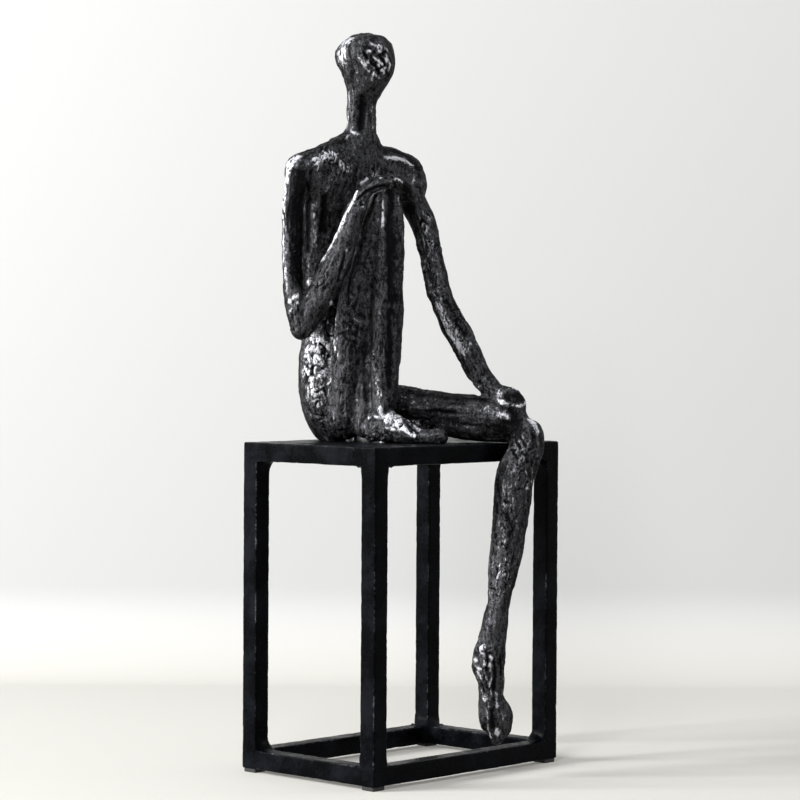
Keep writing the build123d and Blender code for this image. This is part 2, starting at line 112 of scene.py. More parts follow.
def natural_spline(knots: np.ndarray, values: np.ndarray, at: np.ndarray) -> np.ndarray:
    """Natural cubic spline through rows of values.

    Formula: between two knots the curve is the cubic whose second derivative runs straight from
    one knot's to the next's, and the second derivatives solve the usual three-banded system.

    Args:
        knots: rising places of the rows.
        values: one row for each knot.
        at: places where the curve is wanted.

    Returns:
        One row for each place.
    """
    count = len(knots)
    gap = np.diff(knots)
    slope = np.diff(values, axis=0) / gap[:, None]
    bands = np.zeros((count, count))
    bands[0, 0] = bands[-1, -1] = 1.0
    inner = np.arange(1, count - 1)
    bands[inner, inner - 1] = gap[:-1]
    bands[inner, inner] = 2.0 * (gap[:-1] + gap[1:])
    bands[inner, inner + 1] = gap[1:]
    right_side = np.zeros_like(values)
    right_side[1:-1] = 6.0 * np.diff(slope, axis=0)
    bend = np.linalg.solve(bands, right_side)
    k = np.clip(np.searchsorted(knots, at, side="right") - 1, 0, count - 2)
    t = (at - knots[k])[:, None]
    h = gap[k][:, None]
    first = slope[k] - h * (2.0 * bend[k] + bend[k + 1]) / 6.0
    curve = values[k] + t * first + t**2 * bend[k] / 2.0
    return curve + t**3 * (bend[k + 1] - bend[k]) / (6.0 * h)


def unit(rows: np.ndarray) -> np.ndarray:
    """Rows scaled to length one."""
    return rows / np.maximum(np.linalg.norm(rows, axis=-1, keepdims=True), 1e-12)


def smooth_step(low: float, high: float, x: np.ndarray) -> np.ndarray:
    """Rises from 0 at low to 1 at high as 3 t squared less 2 t cubed."""
    t = np.clip((x - low) / (high - low), 0.0, 1.0)
    return t * t * (3.0 - 2.0 * t)


@dataclass(frozen=True)
class Grain:
    """Repeatable gradient noise in space, from one seed."""

    seed: int

    def noise(self, points: np.ndarray) -> np.ndarray:
        """Gradient noise.

        Formula: at each corner of a unit cell a fixed direction is multiplied with the way from
        the corner to the point, and the eight products are blended by 6 t^5 - 15 t^4 + 10 t^3.

        Args:
            points: rows of x, y, z in cells.

        Returns:
            One value for each point, from about -1 to 1.
        """
        rng = np.random.default_rng(self.seed)
        last = NOISE_TABLE - 1
        mix = np.tile(rng.permutation(NOISE_TABLE), 3)
        ways = unit(rng.normal(size=(NOISE_TABLE, 3)))
        cell = np.floor(points).astype(np.int64)
        part = points - cell
        fade = part**3 * (part * (part * 6.0 - 15.0) + 10.0)
        cell &= last
        total = np.zeros(len(points))
        for corner in range(8):
            step = np.array([corner & 1, corner >> 1 & 1, corner >> 2 & 1])
            c = (cell + step) & last
            index = mix[mix[mix[c[:, 0]] + c[:, 1]] + c[:, 2]]
            weight = np.prod(np.where(step == 1, fade, 1.0 - fade), axis=1)
            total += weight * np.einsum("ij,ij->i", ways[index], part - step)
        return total * NOISE_GAIN

    def layers(self, points: np.ndarray, count: int) -> np.ndarray:
        """Sum of noises, each twice as fine and half as high as the one before.

        Args:
            points: rows of x, y, z in cells of the coarsest noise.
            count: how many noises are summed.

        Returns:
            One value for each point.
        """
        total = np.zeros(len(points))
        for level in range(count):
            finer = Grain(self.seed + 17 * level)
            total += finer.noise(points * 2.0**level + 31.7 * level) * 0.5**level
        return total

    def push(self, points: np.ndarray) -> np.ndarray:
        """Three noises side by side, used to bend other patterns."""
        return np.stack([Grain(self.seed + k).noise(points + 7.1 * k) for k in (1, 2, 3)], axis=1)


@dataclass
class Skin:
    """Vertices and four-sided faces of a closed surface, in metres."""

    points: np.ndarray
    quads: np.ndarray

    def edges(self) -> np.ndarray:
        """Each edge once, as a pair of vertex numbers."""
        pairs = np.concatenate([self.quads[:, [k, (k + 1) % 4]] for k in range(4)])
        return np.unique(np.sort(pairs, axis=1), axis=0)

    def gather(self, rows: np.ndarray, owner: np.ndarray) -> np.ndarray:
        """Adds each row to the vertex that owns it."""
        columns = [np.bincount(owner, column, minlength=len(self.points)) for column in rows.T]
        return np.stack(columns, axis=1)

    def normals(self) -> np.ndarray:
        """Outward directions: cross products of the faces' diagonals, summed at each vertex."""
        p = self.points[self.quads]
        cross = np.cross(p[:, 2] - p[:, 0], p[:, 3] - p[:, 1])
        return unit(self.gather(np.repeat(cross, 4, axis=0), self.quads.ravel()))

    def soften(self, rows: np.ndarray, turns: int, share: np.ndarray | float) -> np.ndarray:
        """Moves each vertex's row towards the mean of its neighbours', some turns over.

        Args:
            rows: one row for each vertex, a position or any other values.
            turns: how often it is done.
            share: how much of the way each vertex goes at each turn.

        Returns:
            The softened rows.
        """
        pairs = self.edges()
        both = np.concatenate([pairs, pairs[:, ::-1]])
        near = np.bincount(both[:, 0], minlength=len(self.points))[:, None]
        reach = np.asarray(share)
        reach = reach[:, None] if reach.ndim else reach
        for _ in range(turns):
            mean = self.gather(rows[both[:, 1]], both[:, 0]) / np.maximum(near, 1)
            rows = rows + (mean - rows) * reach
        return rows


def grid_quads(rows: int, columns: int, closed: bool = False) -> np.ndarray:
    """Faces of a grid of points that is stored row by row.

    Args:
        rows: how many rows the grid has.
        columns: how many points a row has.
        closed: whether each row runs round to its own start.

    Returns:
        Four vertex numbers for each face.
    """
    here = np.arange(columns if closed else columns - 1)
    after = (here + 1) % columns
    row = np.arange(rows - 1)[:, None] * columns
    faces = [row + here, row + after, row + columns + after, row + columns + here]
    return np.stack(faces, axis=-1).reshape(-1, 4)


def new_object(name: str, points: np.ndarray, faces: list) -> bpy.types.Object:
    """Smooth-shaded mesh object at the origin.

    Args:
        name: name of the object and its mesh.
        points: rows of x, y, z in metres.
        faces: vertex numbers of each face.

    Returns:
        The object, linked to the scene.
    """
    mesh = bpy.data.meshes.new(name)
    mesh.from_pydata(points, [], faces)
    mesh.update()
    mesh.polygons.foreach_set("use_smooth", np.ones(len(mesh.polygons), bool))
    made = bpy.data.objects.new(name, mesh)
    bpy.context.scene.collection.objects.link(made)
    return made


def put_attribute(mesh: bpy.types.Mesh, name: str, values: np.ndarray) -> None:
    """Stores one number for each vertex under a name that the materials read."""
    made = mesh.attributes.new(name, "FLOAT", "POINT")
    made.data.foreach_set("value", np.asarray(values, np.float32))


# ---- the figure


@dataclass(frozen=True)
class Pose:
    """Where the figure sits: its own axes on the plate. Lengths in mm, the turn in degrees."""

    seat_x: float = -15.0
    seat_y: float = 32.21
    seat_z: float = 174.0
    turn: float = 27.0

    def forward(self) -> np.ndarray:
        """Level direction that the hips face."""
        a = math.radians(self.turn)
        return np.array([math.sin(a), -math.cos(a), 0.0])

    def left(self) -> np.ndarray:
        """Level direction to the figure's left."""
        a = math.radians(self.turn)
        return np.array([math.cos(a), math.sin(a), 0.0])

    def place(self, rows: np.ndarray) -> np.ndarray:
        """Turns rows of forward, left and height above the seat into the row frame, in mm."""
        start = np.array([self.seat_x, self.seat_y, self.seat_z])
        return start + rows[:, :1] * self.forward() + rows[:, 1:2] * self.left() + rows[:, 2:3] * UP


POSE = Pose()
VIEW_BACK = np.array([-0.730, -0.683, 0.023])  # towards the side that the strokes are on


@dataclass(frozen=True)
class Flute:
    """A crest or hollow that runs along a limb.

    Angles are in degrees round the limb from its width axis; height is in mm, below zero for a
    hollow; start and end are shares of the limb's length.
    """

    angle_start: float
    angle_end: float
    spread: float
    height: float
    start: float = 0.0
    end: float = 1.0

    def bump(self, angle: np.ndarray, place: np.ndarray) -> np.ndarray:
        """Height of the flute over the limb.

        Formula: the height times a bell of the angle off the flute's own line, times a window
        of the place that opens and shuts smoothly.

        Args:
            angle: angles round the limb.
            place: shares of the limb's length.

        Returns:
            Heights in mm, a row for each place and a column for each angle.
        """
        middle = np.radians(self.angle_start + (self.angle_end - self.angle_start) * place)
        off = (angle[None, :] - middle[:, None] + np.pi) % (2.0 * np.pi) - np.pi
        bell = np.exp(-0.5 * (off / math.radians(self.spread)) ** 2)
        fade = FLUTE_FADE * (self.end - self.start)
        window = smooth_step(self.start - fade, self.start + fade, place)
        window *= 1.0 - smooth_step(self.end - fade, self.end + fade, place)
        return self.height * bell * window[:, None]


@dataclass(frozen=True)
class Limb:
    """Oval sections along a smooth line, in mm.

    stations: forward, left, up, half width, half thickness and turn of each section, or x, y, z
    in the row frame where on_stand is set. across: wanted direction of the width axis. domes:
    how far each end bulges, in least half sizes. around and step: points of a section and the
    way from one to the next.
    """

    name: str
    casting: Casting
    stations: tuple[tuple[float, ...], ...]
    across: Triple
    flutes: tuple[Flute, ...] = ()
    fullness: float = 2.0
    on_stand: bool = False
    domes: Span = (1.0, 1.0)
    around: int = 72
    step: float = 1.2

    def line(self, count: int) -> tuple[np.ndarray, ...]:
        """The limb's sections at even places.

        Formula: natural splines through the stations; the width axis is the wanted side less
        its part along the line, turned about the line by the station's turn.

        Args:
            count: how many sections there are.

        Returns:
            Centres, width axes, depth axes, directions and half sizes.
        """
        table = np.zeros((len(self.stations), 6))
        for k, station in enumerate(self.stations):
            table[k, : len(station)] = station
        spots = table[:, :3] if self.on_stand else POSE.place(table[:, :3])
        length = np.concatenate([[0.0], np.cumsum(np.linalg.norm(np.diff(spots, axis=0), axis=1))])
        at = np.linspace(0.0, length[-1], count)
        rows = natural_spline(length, np.concatenate([spots, table[:, 3:]], axis=1), at)
        along = unit(np.gradient(rows[:, :3], at, axis=0))
        side = np.array(self.across, float)
        if not self.on_stand:
            side = side[0] * POSE.forward() + side[1] * POSE.left() + side[2] * UP
        width = unit(side - along * (along @ side)[:, None])
        depth = np.cross(width, along)
        turn = np.radians(rows[:, 5])[:, None]
        turned = width * np.cos(turn) + depth * np.sin(turn)
        depth = depth * np.cos(turn) - width * np.sin(turn)
        return rows[:, :3], turned, depth, along, np.maximum(rows[:, 3:5], THINNEST)

    def rings(self) -> int:
        """How many sections the skin has, by the way straight from station to station."""
        table = np.array([station[:3] for station in self.stations])
        length = float(np.linalg.norm(np.diff(table, axis=0), axis=1).sum())
        return max(int(length / self.step), FEWEST_RINGS)

    def surface(self) -> tuple[np.ndarray, list]:
        """Closed skin of the limb.

        Formula: at place s and angle a the point is the centre plus the width axis times
        half width times |cos a|^(2/n) and the depth axis times half thickness times
        |sin a|^(2/n), both with their signs, where n is the fullness; the flutes' heights swell
        both. Each end closes with a half dome, whose rings shrink as the cosine of the dome's
        lift and go out as its sine, and a fan to the tip.

        Returns:
            Points in metres and faces.
        """
        count = self.rings()
        centre, width, depth, along, half = self.line(count)
        angle = np.linspace(0.0, 2.0 * np.pi, self.around, endpoint=False)
        power = 2.0 / self.fullness
        cos_a = np.sign(np.cos(angle)) * np.abs(np.cos(angle)) ** power
        sin_a = np.sign(np.sin(angle)) * np.abs(np.sin(angle)) ** power
        place = np.linspace(0.0, 1.0, count)
        extra = np.zeros((count, self.around))
        for flute in self.flutes:
            extra += flute.bump(angle, place)
        swell = 1.0 + extra / half.mean(axis=1)[:, None]
        ring = (
            centre[:, None, :]
            + width[:, None, :] * (half[:, :1] * cos_a * swell)[:, :, None]
            + depth[:, None, :] * (half[:, 1:] * sin_a * swell)[:, :, None]
        )
        caps, tips = [], []
        for end, sign in ((0, -1.0), (-1, 1.0)):
            reach = half[end].min() * self.domes[end]
            flat = ring[end] - centre[end]
            cap = centre[end] + flat[None] * np.cos(DOME_LIFTS)[:, None, None]
            cap = cap + sign * along[end] * (reach * np.sin(DOME_LIFTS))[:, None, None]
            caps.append(cap)
            tips.append(centre[end] + sign * along[end] * reach)
        rings = np.concatenate([caps[0][::-1], ring, caps[1]])
        total = len(rings)
        points = np.concatenate([rings.reshape(-1, 3), tips]) * MM
        k = np.arange(self.around)
        after = (k + 1) % self.around
        first, last = total * self.around, (total - 1) * self.around
        fans = [
            np.stack([after, k, np.full_like(k, first)], axis=1),
            np.stack([last + k, last + after, np.full_like(k, first + 1)], axis=1),
        ]
        quads = grid_quads(total, self.around, closed=True)
        return points, quads.tolist() + np.concatenate(fans).tolist()

    def measure(self, points: np.ndarray) -> tuple[np.ndarray, np.ndarray]:
        """How far points lie from the limb's skin, and where they lie along and across it.

        Formula: a section's reach is the point's offset in the section's own axes measured in
        half sizes; the section of least reach counts, the distance is its reach less one times
        the smaller half size, and the place along adds the offset to the section's own length.

        Args:
            points: rows of x, y, z in mm.

        Returns:
            Distances in mm, below zero inside, and rows of width offset, depth offset and length.
        """
        centre, width, depth, along, half = self.line(MEASURED_SECTIONS)
        run = np.concatenate([[0.0], np.cumsum(np.linalg.norm(np.diff(centre, axis=0), axis=1))])
        big = half.max() + MEASURED_MARGIN
        low, high = centre.min(axis=0) - big, centre.max(axis=0) + big
        near = ((points > low) & (points < high)).all(axis=1)
        some = points[near]
        least = np.full(len(some), np.inf)
        rows = np.zeros((len(some), 3))
        for k in range(len(centre)):
            way = some - centre[k]
            w, d, a = way @ width[k], way @ depth[k], way @ along[k]
            small = half[k].min()
            reach = np.sqrt((w / half[k, 0]) ** 2 + (d / half[k, 1]) ** 2 + (a / small) ** 2)
            gap = (reach - 1.0) * small
            closer = gap < least
            least = np.where(closer, gap, least)
            rows = np.where(closer[:, None], np.stack([w, d, a + run[k]], axis=1), rows)
        gaps = np.full(len(points), FAR)
        local = np.zeros((len(points), 3))
        gaps[near] = least
        local[near] = rows
        return gaps, local


LIMBS: tuple[Limb, ...] = (
    Limb(
        "trunk",
        Casting.TORSO,
        (
            (-1.7, 2.0, 0.6, 9.4, 7.0, 0.0), (-4.8, 1.3, 4.4, 15.2, 10.4, 0.6),
            (-8.1, 0.5, 9.7, 19.3, 13.2, 1.3), (-10.8, -0.1, 18.0, 22.5, 14.7, 2.6),
            (-11.9, -0.3, 30.0, 23.9, 15.2, 4.4), (-11.9, -1.6, 53.5, 20.3, 12.9, 11.4),
            (-11.4, -4.6, 77.8, 18.0, 9.9, 22.9), (-8.3, -6.6, 103.7, 20.4, 9.8, 34.3),
            (-1.4, -6.8, 129.6, 28.6, 11.4, 42.7), (2.6, -6.6, 147.4, 30.4, 11.4, 44.0),
            (4.3, -6.1, 156.0, 16.6, 9.4, 44.0), (5.9, -5.6, 161.4, 9.8, 8.4, 44.0),
        ),
        (0.0, 1.0, 0.0),
        (
            Flute(270, 270, 14, -2.4, 0.12, 0.92),
            Flute(92, 92, 14, -1.6, 0.66, 0.94),
            Flute(52, 56, 18, 1.2, 0.68, 0.93),
            Flute(128, 124, 16, 1.0, 0.68, 0.93),
            Flute(228, 236, 16, 1.5, 0.62, 0.92),
            Flute(312, 304, 16, 1.5, 0.62, 0.92),
        ),
        fullness=2.15,
        domes=(0.1, 0.12),
        around=120,
    ),
    Limb(
        "left_yoke",
        Casting.TORSO,
        (
            (8.5, 0.2, 150.3, 9.0, 9.4), (13.4, 5.2, 148.8, 8.4, 9.2), (17.5, 9.5, 148.0, 8.0, 8.8),
            (21.7, 13.8, 146.4, 7.8, 8.4), (25.6, 17.9, 145.2, 7.6, 8.2),
        ),
        (0.72, -0.69, 0.0),
    ),
    Limb(
        "right_yoke",
        Casting.TORSO,
        (
            (-2.2, -11.0, 149.4, 8.8, 9.6), (-7.0, -15.6, 148.6, 8.4, 9.0),
            (-11.6, -20.6, 147.2, 8.0, 8.6), (-16.9, -26.1, 145.4, 7.8, 8.2),
            (-20.6, -29.9, 143.6, 7.4, 8.0),
        ),
        (0.72, -0.69, 0.0),
    ),
    Limb(
        "head",
        Casting.HEAD,
        (
            (5.9, -5.6, 158.0, 12.0, 9.0, 44.0), (6.1, -5.6, 163.0, 9.1, 8.2, 44.0),
            (6.2, -5.6, 168.0, 7.9, 7.8, 44.0), (6.2, -5.6, 174.5, 7.5, 7.6, 44.0),
            (6.5, -5.6, 181.5, 7.9, 8.1, 44.0), (7.5, -5.6, 187.4, 10.1, 10.8, 44.0),
            (8.4, -5.6, 191.7, 12.1, 12.7, 44.0), (9.0, -5.6, 196.0, 13.7, 14.3, 44.0),
            (8.7, -5.6, 202.4, 15.1, 15.9, 44.0), (7.3, -5.9, 207.5, 15.0, 15.8, 44.0),
            (6.5, -6.1, 211.7, 12.8, 13.4, 44.0), (6.1, -6.2, 214.0, 9.8, 10.2, 44.0),
            (5.9, -6.3, 215.4, 6.0, 6.3, 44.0),
        ),
        (0.0, 1.0, 0.0),
        (
            Flute(112, 112, 13, -1.1, 0.08, 0.42),
            Flute(148, 146, 14, 0.6, 0.05, 0.45),
            Flute(160, 156, 26, 0.5, 0.55, 0.9),
        ),
        domes=(1.0, 0.2),
        around=96,
        step=0.8,
    ),
    Limb(
        "raised_thigh",
        Casting.RIGHT_LEG,
        (
            (1.0, -14.0, 11.5, 10.9, 10.4), (1.6, -14.3, 27.0, 10.4, 10.6),
            (4.0, -14.8, 43.0, 10.5, 10.3), (6.6, -15.5, 62.0, 10.9, 10.0),
            (9.4, -16.3, 80.0, 9.9, 9.6), (14.4, -17.3, 99.0, 9.0, 8.9),
            (19.0, -18.3, 115.0, 8.2, 8.4), (23.8, -18.9, 127.0, 7.2, 7.6),
        ),
        (1.0, 0.0, 0.0),
        (
            Flute(200, 196, 13, -1.0, 0.2, 0.9),
            Flute(236, 232, 15, 0.9, 0.1, 0.95),
            Flute(290, 296, 16, -0.9, 0.3, 0.95),
        ),
    ),
    Limb(
        "leg_web",
        Casting.RIGHT_LEG,
        (
            (12.6, -17.0, 8.0, 7.0, 6.2), (13.4, -17.2, 22.0, 6.4, 5.4),
            (14.2, -17.4, 38.0, 6.2, 5.2), (15.6, -17.8, 56.0, 5.8, 5.2),
            (18.6, -18.4, 78.0, 5.6, 5.4), (21.0, -18.8, 98.0, 5.2, 5.6),
        ),
        (1.0, 0.0, 0.0),
    ),
    Limb(
        "raised_shin",
        Casting.RIGHT_LEG,
        (
            (23.6, -20.8, 9.0, 6.2, 5.8), (23.8, -20.8, 18.0, 6.2, 5.7),
            (24.2, -20.6, 30.0, 6.9, 6.2), (24.6, -20.4, 43.0, 7.6, 7.1),
            (24.9, -20.2, 55.0, 8.1, 7.6), (25.1, -19.9, 75.0, 8.6, 8.0),
            (25.3, -19.6, 95.0, 8.5, 8.0), (25.3, -19.3, 114.0, 8.2, 7.8),
            (24.8, -19.0, 127.3, 7.4, 7.4),
        ),
        (1.0, 0.0, 0.0),
        (
            Flute(262, 256, 10, 1.5, 0.1, 1.0),
            Flute(290, 288, 12, -2.2, 0.12, 0.99),
            Flute(322, 320, 12, 1.0, 0.1, 1.0),
        ),
        fullness=1.9,
    ),
    Limb(
        "raised_foot",
        Casting.RIGHT_LEG,
        (
            (17.0, -21.3, 4.6, 3.6, 4.6), (20.0, -21.3, 6.2, 5.2, 6.6),
            (24.0, -21.3, 8.0, 5.8, 8.4), (30.0, -21.3, 7.2, 6.2, 8.0),
            (38.0, -21.6, 4.8, 6.8, 5.7), (45.0, -22.0, 3.6, 7.2, 4.4),
            (50.0, -22.2, 3.0, 6.6, 3.8),
        ),
        (0.0, -1.0, 0.0),
        (Flute(62, 60, 14, 0.8, 0.2, 0.7),),
    ),
    Limb(
        "raised_toe_near",
        Casting.RIGHT_LEG,
        ((46.0, -25.0, 3.6, 3.4, 3.8), (51.0, -25.2, 3.8, 4.0, 4.0), (56.0, -24.8, 3.8, 4.1, 4.0)),
        (0.0, -1.0, 0.0),
    ),
    Limb(
        "raised_toe_far",
        Casting.RIGHT_LEG,
        ((44.0, -18.4, 3.4, 3.0, 3.4), (51.0, -18.2, 3.0, 3.0, 3.0), (55.0, -18.2, 2.8, 2.8, 2.8)),
        (0.0, -1.0, 0.0),
    ),
    Limb(
        "lap_thigh",
        Casting.LEFT_LEG,
        (
            (-4.0, 13.0, 16.6, 8.2, 12.2), (10.0, 12.0, 17.0, 9.6, 13.0),
            (24.3, 10.8, 16.2, 10.0, 13.3), (34.0, 9.9, 15.3, 9.9, 12.9),
            (52.7, 8.2, 14.2, 9.6, 11.9), (69.3, 7.6, 12.6, 9.2, 12.2),
            (81.6, 7.4, 11.0, 8.8, 11.0), (88.9, 7.3, 8.4, 8.0, 9.2),
        ),
        (0.0, -1.0, 0.0),
        (
            Flute(-22, -16, 14, -1.2, 0.1, 0.85),
            Flute(34, 32, 14, 0.6, 0.1, 0.95),
            Flute(8, 8, 16, 0.8, 0.1, 0.9),
        ),
        fullness=2.15,
    ),
    Limb(
        "hanging_shin",
        Casting.LEFT_LEG,
        (
            (6.4, -51.6, 17.6, 1.7, 1.8), (7.6, -52.4, 21.2, 4.4, 3.2),
            (8.1, -52.6, 24.8, 7.0, 4.2), (7.6, -52.4, 28.4, 8.5, 5.0),
            (7.1, -52.2, 31.6, 8.9, 5.3), (6.3, -51.7, 36.0, 8.2, 5.5),
            (5.0, -51.2, 41.0, 6.9, 5.6), (4.9, -50.9, 47.0, 6.6, 5.9),
            (4.4, -50.7, 52.0, 7.0, 6.2), (3.2, -50.5, 58.0, 8.5, 6.4),
            (3.6, -50.5, 64.3, 8.4, 6.3), (5.4, -50.5, 71.0, 7.6, 6.0),
            (7.4, -50.4, 79.0, 6.9, 5.8), (10.4, -50.3, 88.0, 6.3, 5.7),
            (12.5, -50.2, 98.0, 6.6, 6.0), (16.4, -50.0, 114.0, 8.3, 6.9),
            (18.7, -49.9, 124.5, 8.9, 7.4), (20.4, -49.8, 134.8, 9.4, 7.6),
            (22.0, -49.8, 145.0, 9.9, 7.6), (23.2, -49.8, 154.0, 10.2, 7.6),
            (26.2, -50.2, 161.0, 10.0, 7.8), (30.6, -50.5, 168.0, 9.3, 8.0),
            (33.4, -50.6, 175.0, 9.0, 8.2), (33.6, -50.0, 180.0, 8.3, 7.8),
        ),
        (0.683, -0.730, 0.0),
        (
            Flute(104, 101, 7, 1.2, 0.02, 0.30),
            Flute(72, 74, 13, -1.3, 0.04, 0.27),
            Flute(132, 134, 12, -1.0, 0.04, 0.28),
            Flute(44, 50, 14, -1.2, 0.42, 0.9),
            Flute(84, 88, 13, 0.8, 0.36, 0.95),
            Flute(128, 128, 14, -0.8, 0.40, 0.92),
        ),
        on_stand=True,
        domes=(0.6, 0.9),
        fullness=1.95,
    ),
    Limb(
        "right_upper_arm",
        Casting.RIGHT_ARM,
        (
            (-20.8, -30.2, 143.8, 7.4, 7.6), (-19.9, -33.2, 138.0, 6.6, 6.9),
            (-20.8, -36.6, 126.5, 5.7, 6.4), (-20.8, -39.0, 111.4, 5.4, 6.2),
            (-20.3, -41.0, 95.6, 5.4, 6.1), (-18.7, -42.5, 79.9, 5.5, 6.0),
            (-16.3, -43.6, 67.5, 5.9, 6.0), (-14.0, -43.9, 59.8, 6.0, 6.0),
        ),
        (1.0, 0.0, 0.0),
        (Flute(106, 104, 16, -1.0, 0.1, 0.9), Flute(152, 152, 14, 0.7, 0.05, 0.9)),
    ),
    Limb(
        "right_forearm",
        Casting.RIGHT_ARM,
        (
            (-14.0, -43.9, 59.6, 6.3, 6.0), (-7.8, -41.2, 71.2, 7.1, 6.2),
            (-2.0, -38.5, 83.4, 7.1, 6.0), (4.2, -35.7, 96.6, 6.6, 5.8),
            (8.9, -33.2, 110.9, 5.3, 5.0), (12.7, -31.1, 123.6, 4.4, 4.3),
            (16.6, -28.9, 132.4, 3.9, 3.8),
        ),
        (1.0, 0.0, 0.0),
        (Flute(168, 168, 10, 1.1, 0.0, 1.0), Flute(208, 208, 13, -0.7, 0.1, 0.9)),
    ),
    Limb(
        "right_hand",
        Casting.RIGHT_ARM,
        (
            (15.4, -29.6, 130.2, 3.8, 3.8), (19.2, -27.6, 134.2, 3.7, 4.3),
            (24.0, -24.8, 136.4, 3.9, 5.4), (28.2, -21.2, 136.9, 4.2, 6.2),
            (32.2, -17.8, 135.0, 4.2, 6.0), (34.6, -15.8, 131.6, 3.4, 5.2),
            (34.8, -15.4, 129.0, 2.6, 4.2),
        ),
        (0.0, 0.0, 1.0),
        (
            Flute(252, 248, 10, -0.9, 0.45, 1.0),
            Flute(292, 290, 10, -0.9, 0.5, 1.0),
            Flute(330, 330, 10, -0.8, 0.55, 1.0),
        ),
    ),
    Limb(
        "left_upper_arm",
        Casting.LEFT_ARM,
        (
            (26.2, 18.6, 144.4, 8.0, 8.0), (28.2, 18.0, 137.5, 7.8, 7.4),
            (28.4, 17.2, 130.0, 7.0, 7.0), (32.5, 16.0, 122.0, 6.8, 6.8),
            (35.7, 15.3, 114.5, 6.4, 6.6), (38.1, 14.6, 106.0, 6.1, 6.4),
            (41.5, 12.9, 94.3, 6.2, 6.2), (45.0, 11.2, 80.8, 6.2, 6.0), (48.6, 9.8, 70.8, 6.2, 5.8),
        ),
        (1.0, 0.0, 0.0),
        (
            Flute(240, 246, 13, -0.9, 0.1, 0.9),
            Flute(284, 280, 14, 0.7, 0.1, 0.95),
            Flute(196, 200, 14, 0.6, 0.2, 0.9),
        ),
    ),
    Limb(
        "left_forearm",
        Casting.LEFT_ARM,
        (
            (48.4, 9.9, 72.4, 6.2, 5.8), (54.2, 9.7, 61.8, 6.8, 5.9), (60.2, 8.9, 51.5, 6.6, 5.6),
            (67.0, 7.6, 39.9, 5.9, 5.0), (73.4, 6.9, 30.4, 5.5, 4.7), (79.2, 6.9, 25.4, 5.4, 4.8),
        ),
        (1.0, 0.0, 0.0),
        (Flute(250, 250, 13, -0.8, 0.1, 0.9), Flute(200, 200, 13, 0.6, 0.05, 0.95)),
    ),
    Limb(
        "left_hand",
        Casting.LEFT_ARM,
        (
            (77.0, 6.9, 26.6, 4.4, 4.8), (81.0, 6.9, 25.4, 5.0, 5.8), (85.2, 7.2, 24.6, 5.2, 6.4),
            (88.6, 7.6, 22.0, 4.8, 6.2), (90.2, 8.0, 18.6, 4.0, 5.4),
        ),
        (0.0, 0.0, 1.0),
    ),
)


@dataclass(frozen=True)
class Stroke:
    """A worked mark on the skin along a line, in mm: a crest, a hollow, a rubbed place, a painted
    highlight or painted shade.

    points: forward, left and height above the seat of the line's corners. height lifts the
    skin; the next number paints it bright or black, a painted highlight above zero and painted
    shade below, over partly real rubbed silver and patina black; rough works it or smooths it.
    """

    points: tuple[Triple, ...]
    width: float
    height: float = 0.0
    # painted light: a painted highlight above zero, painted shade below, with partly real rubbing
    painted_light_and_rub: float = 0.0
    rough: float = 0.0

    def bell(self, points: np.ndarray) -> tuple[np.ndarray, np.ndarray]:
        """Falls from one on the line as e to the minus squared distance over squared width.

        Args:
            points: rows of x, y, z in mm.

        Returns:
            Numbers of the points near enough to count, and the bell at each of them.
        """
        corners = POSE.place(np.array(self.points, float))
        reach = BELL_REACH * self.width
        low, high = corners.min(axis=0) - reach, corners.max(axis=0) + reach
        near = np.flatnonzero(((points > low) & (points < high)).all(axis=1))
        some = points[near]
        least = ((some - corners[0]) ** 2).sum(axis=1)
        for a, b in zip(corners[:-1], corners[1:]):
            way = b - a
            t = np.clip((some - a) @ way / max(way @ way, 1e-9), 0.0, 1.0)
            least = np.minimum(least, ((some - a - t[:, None] * way) ** 2).sum(axis=1))
        return near, np.exp(-least / self.width**2)
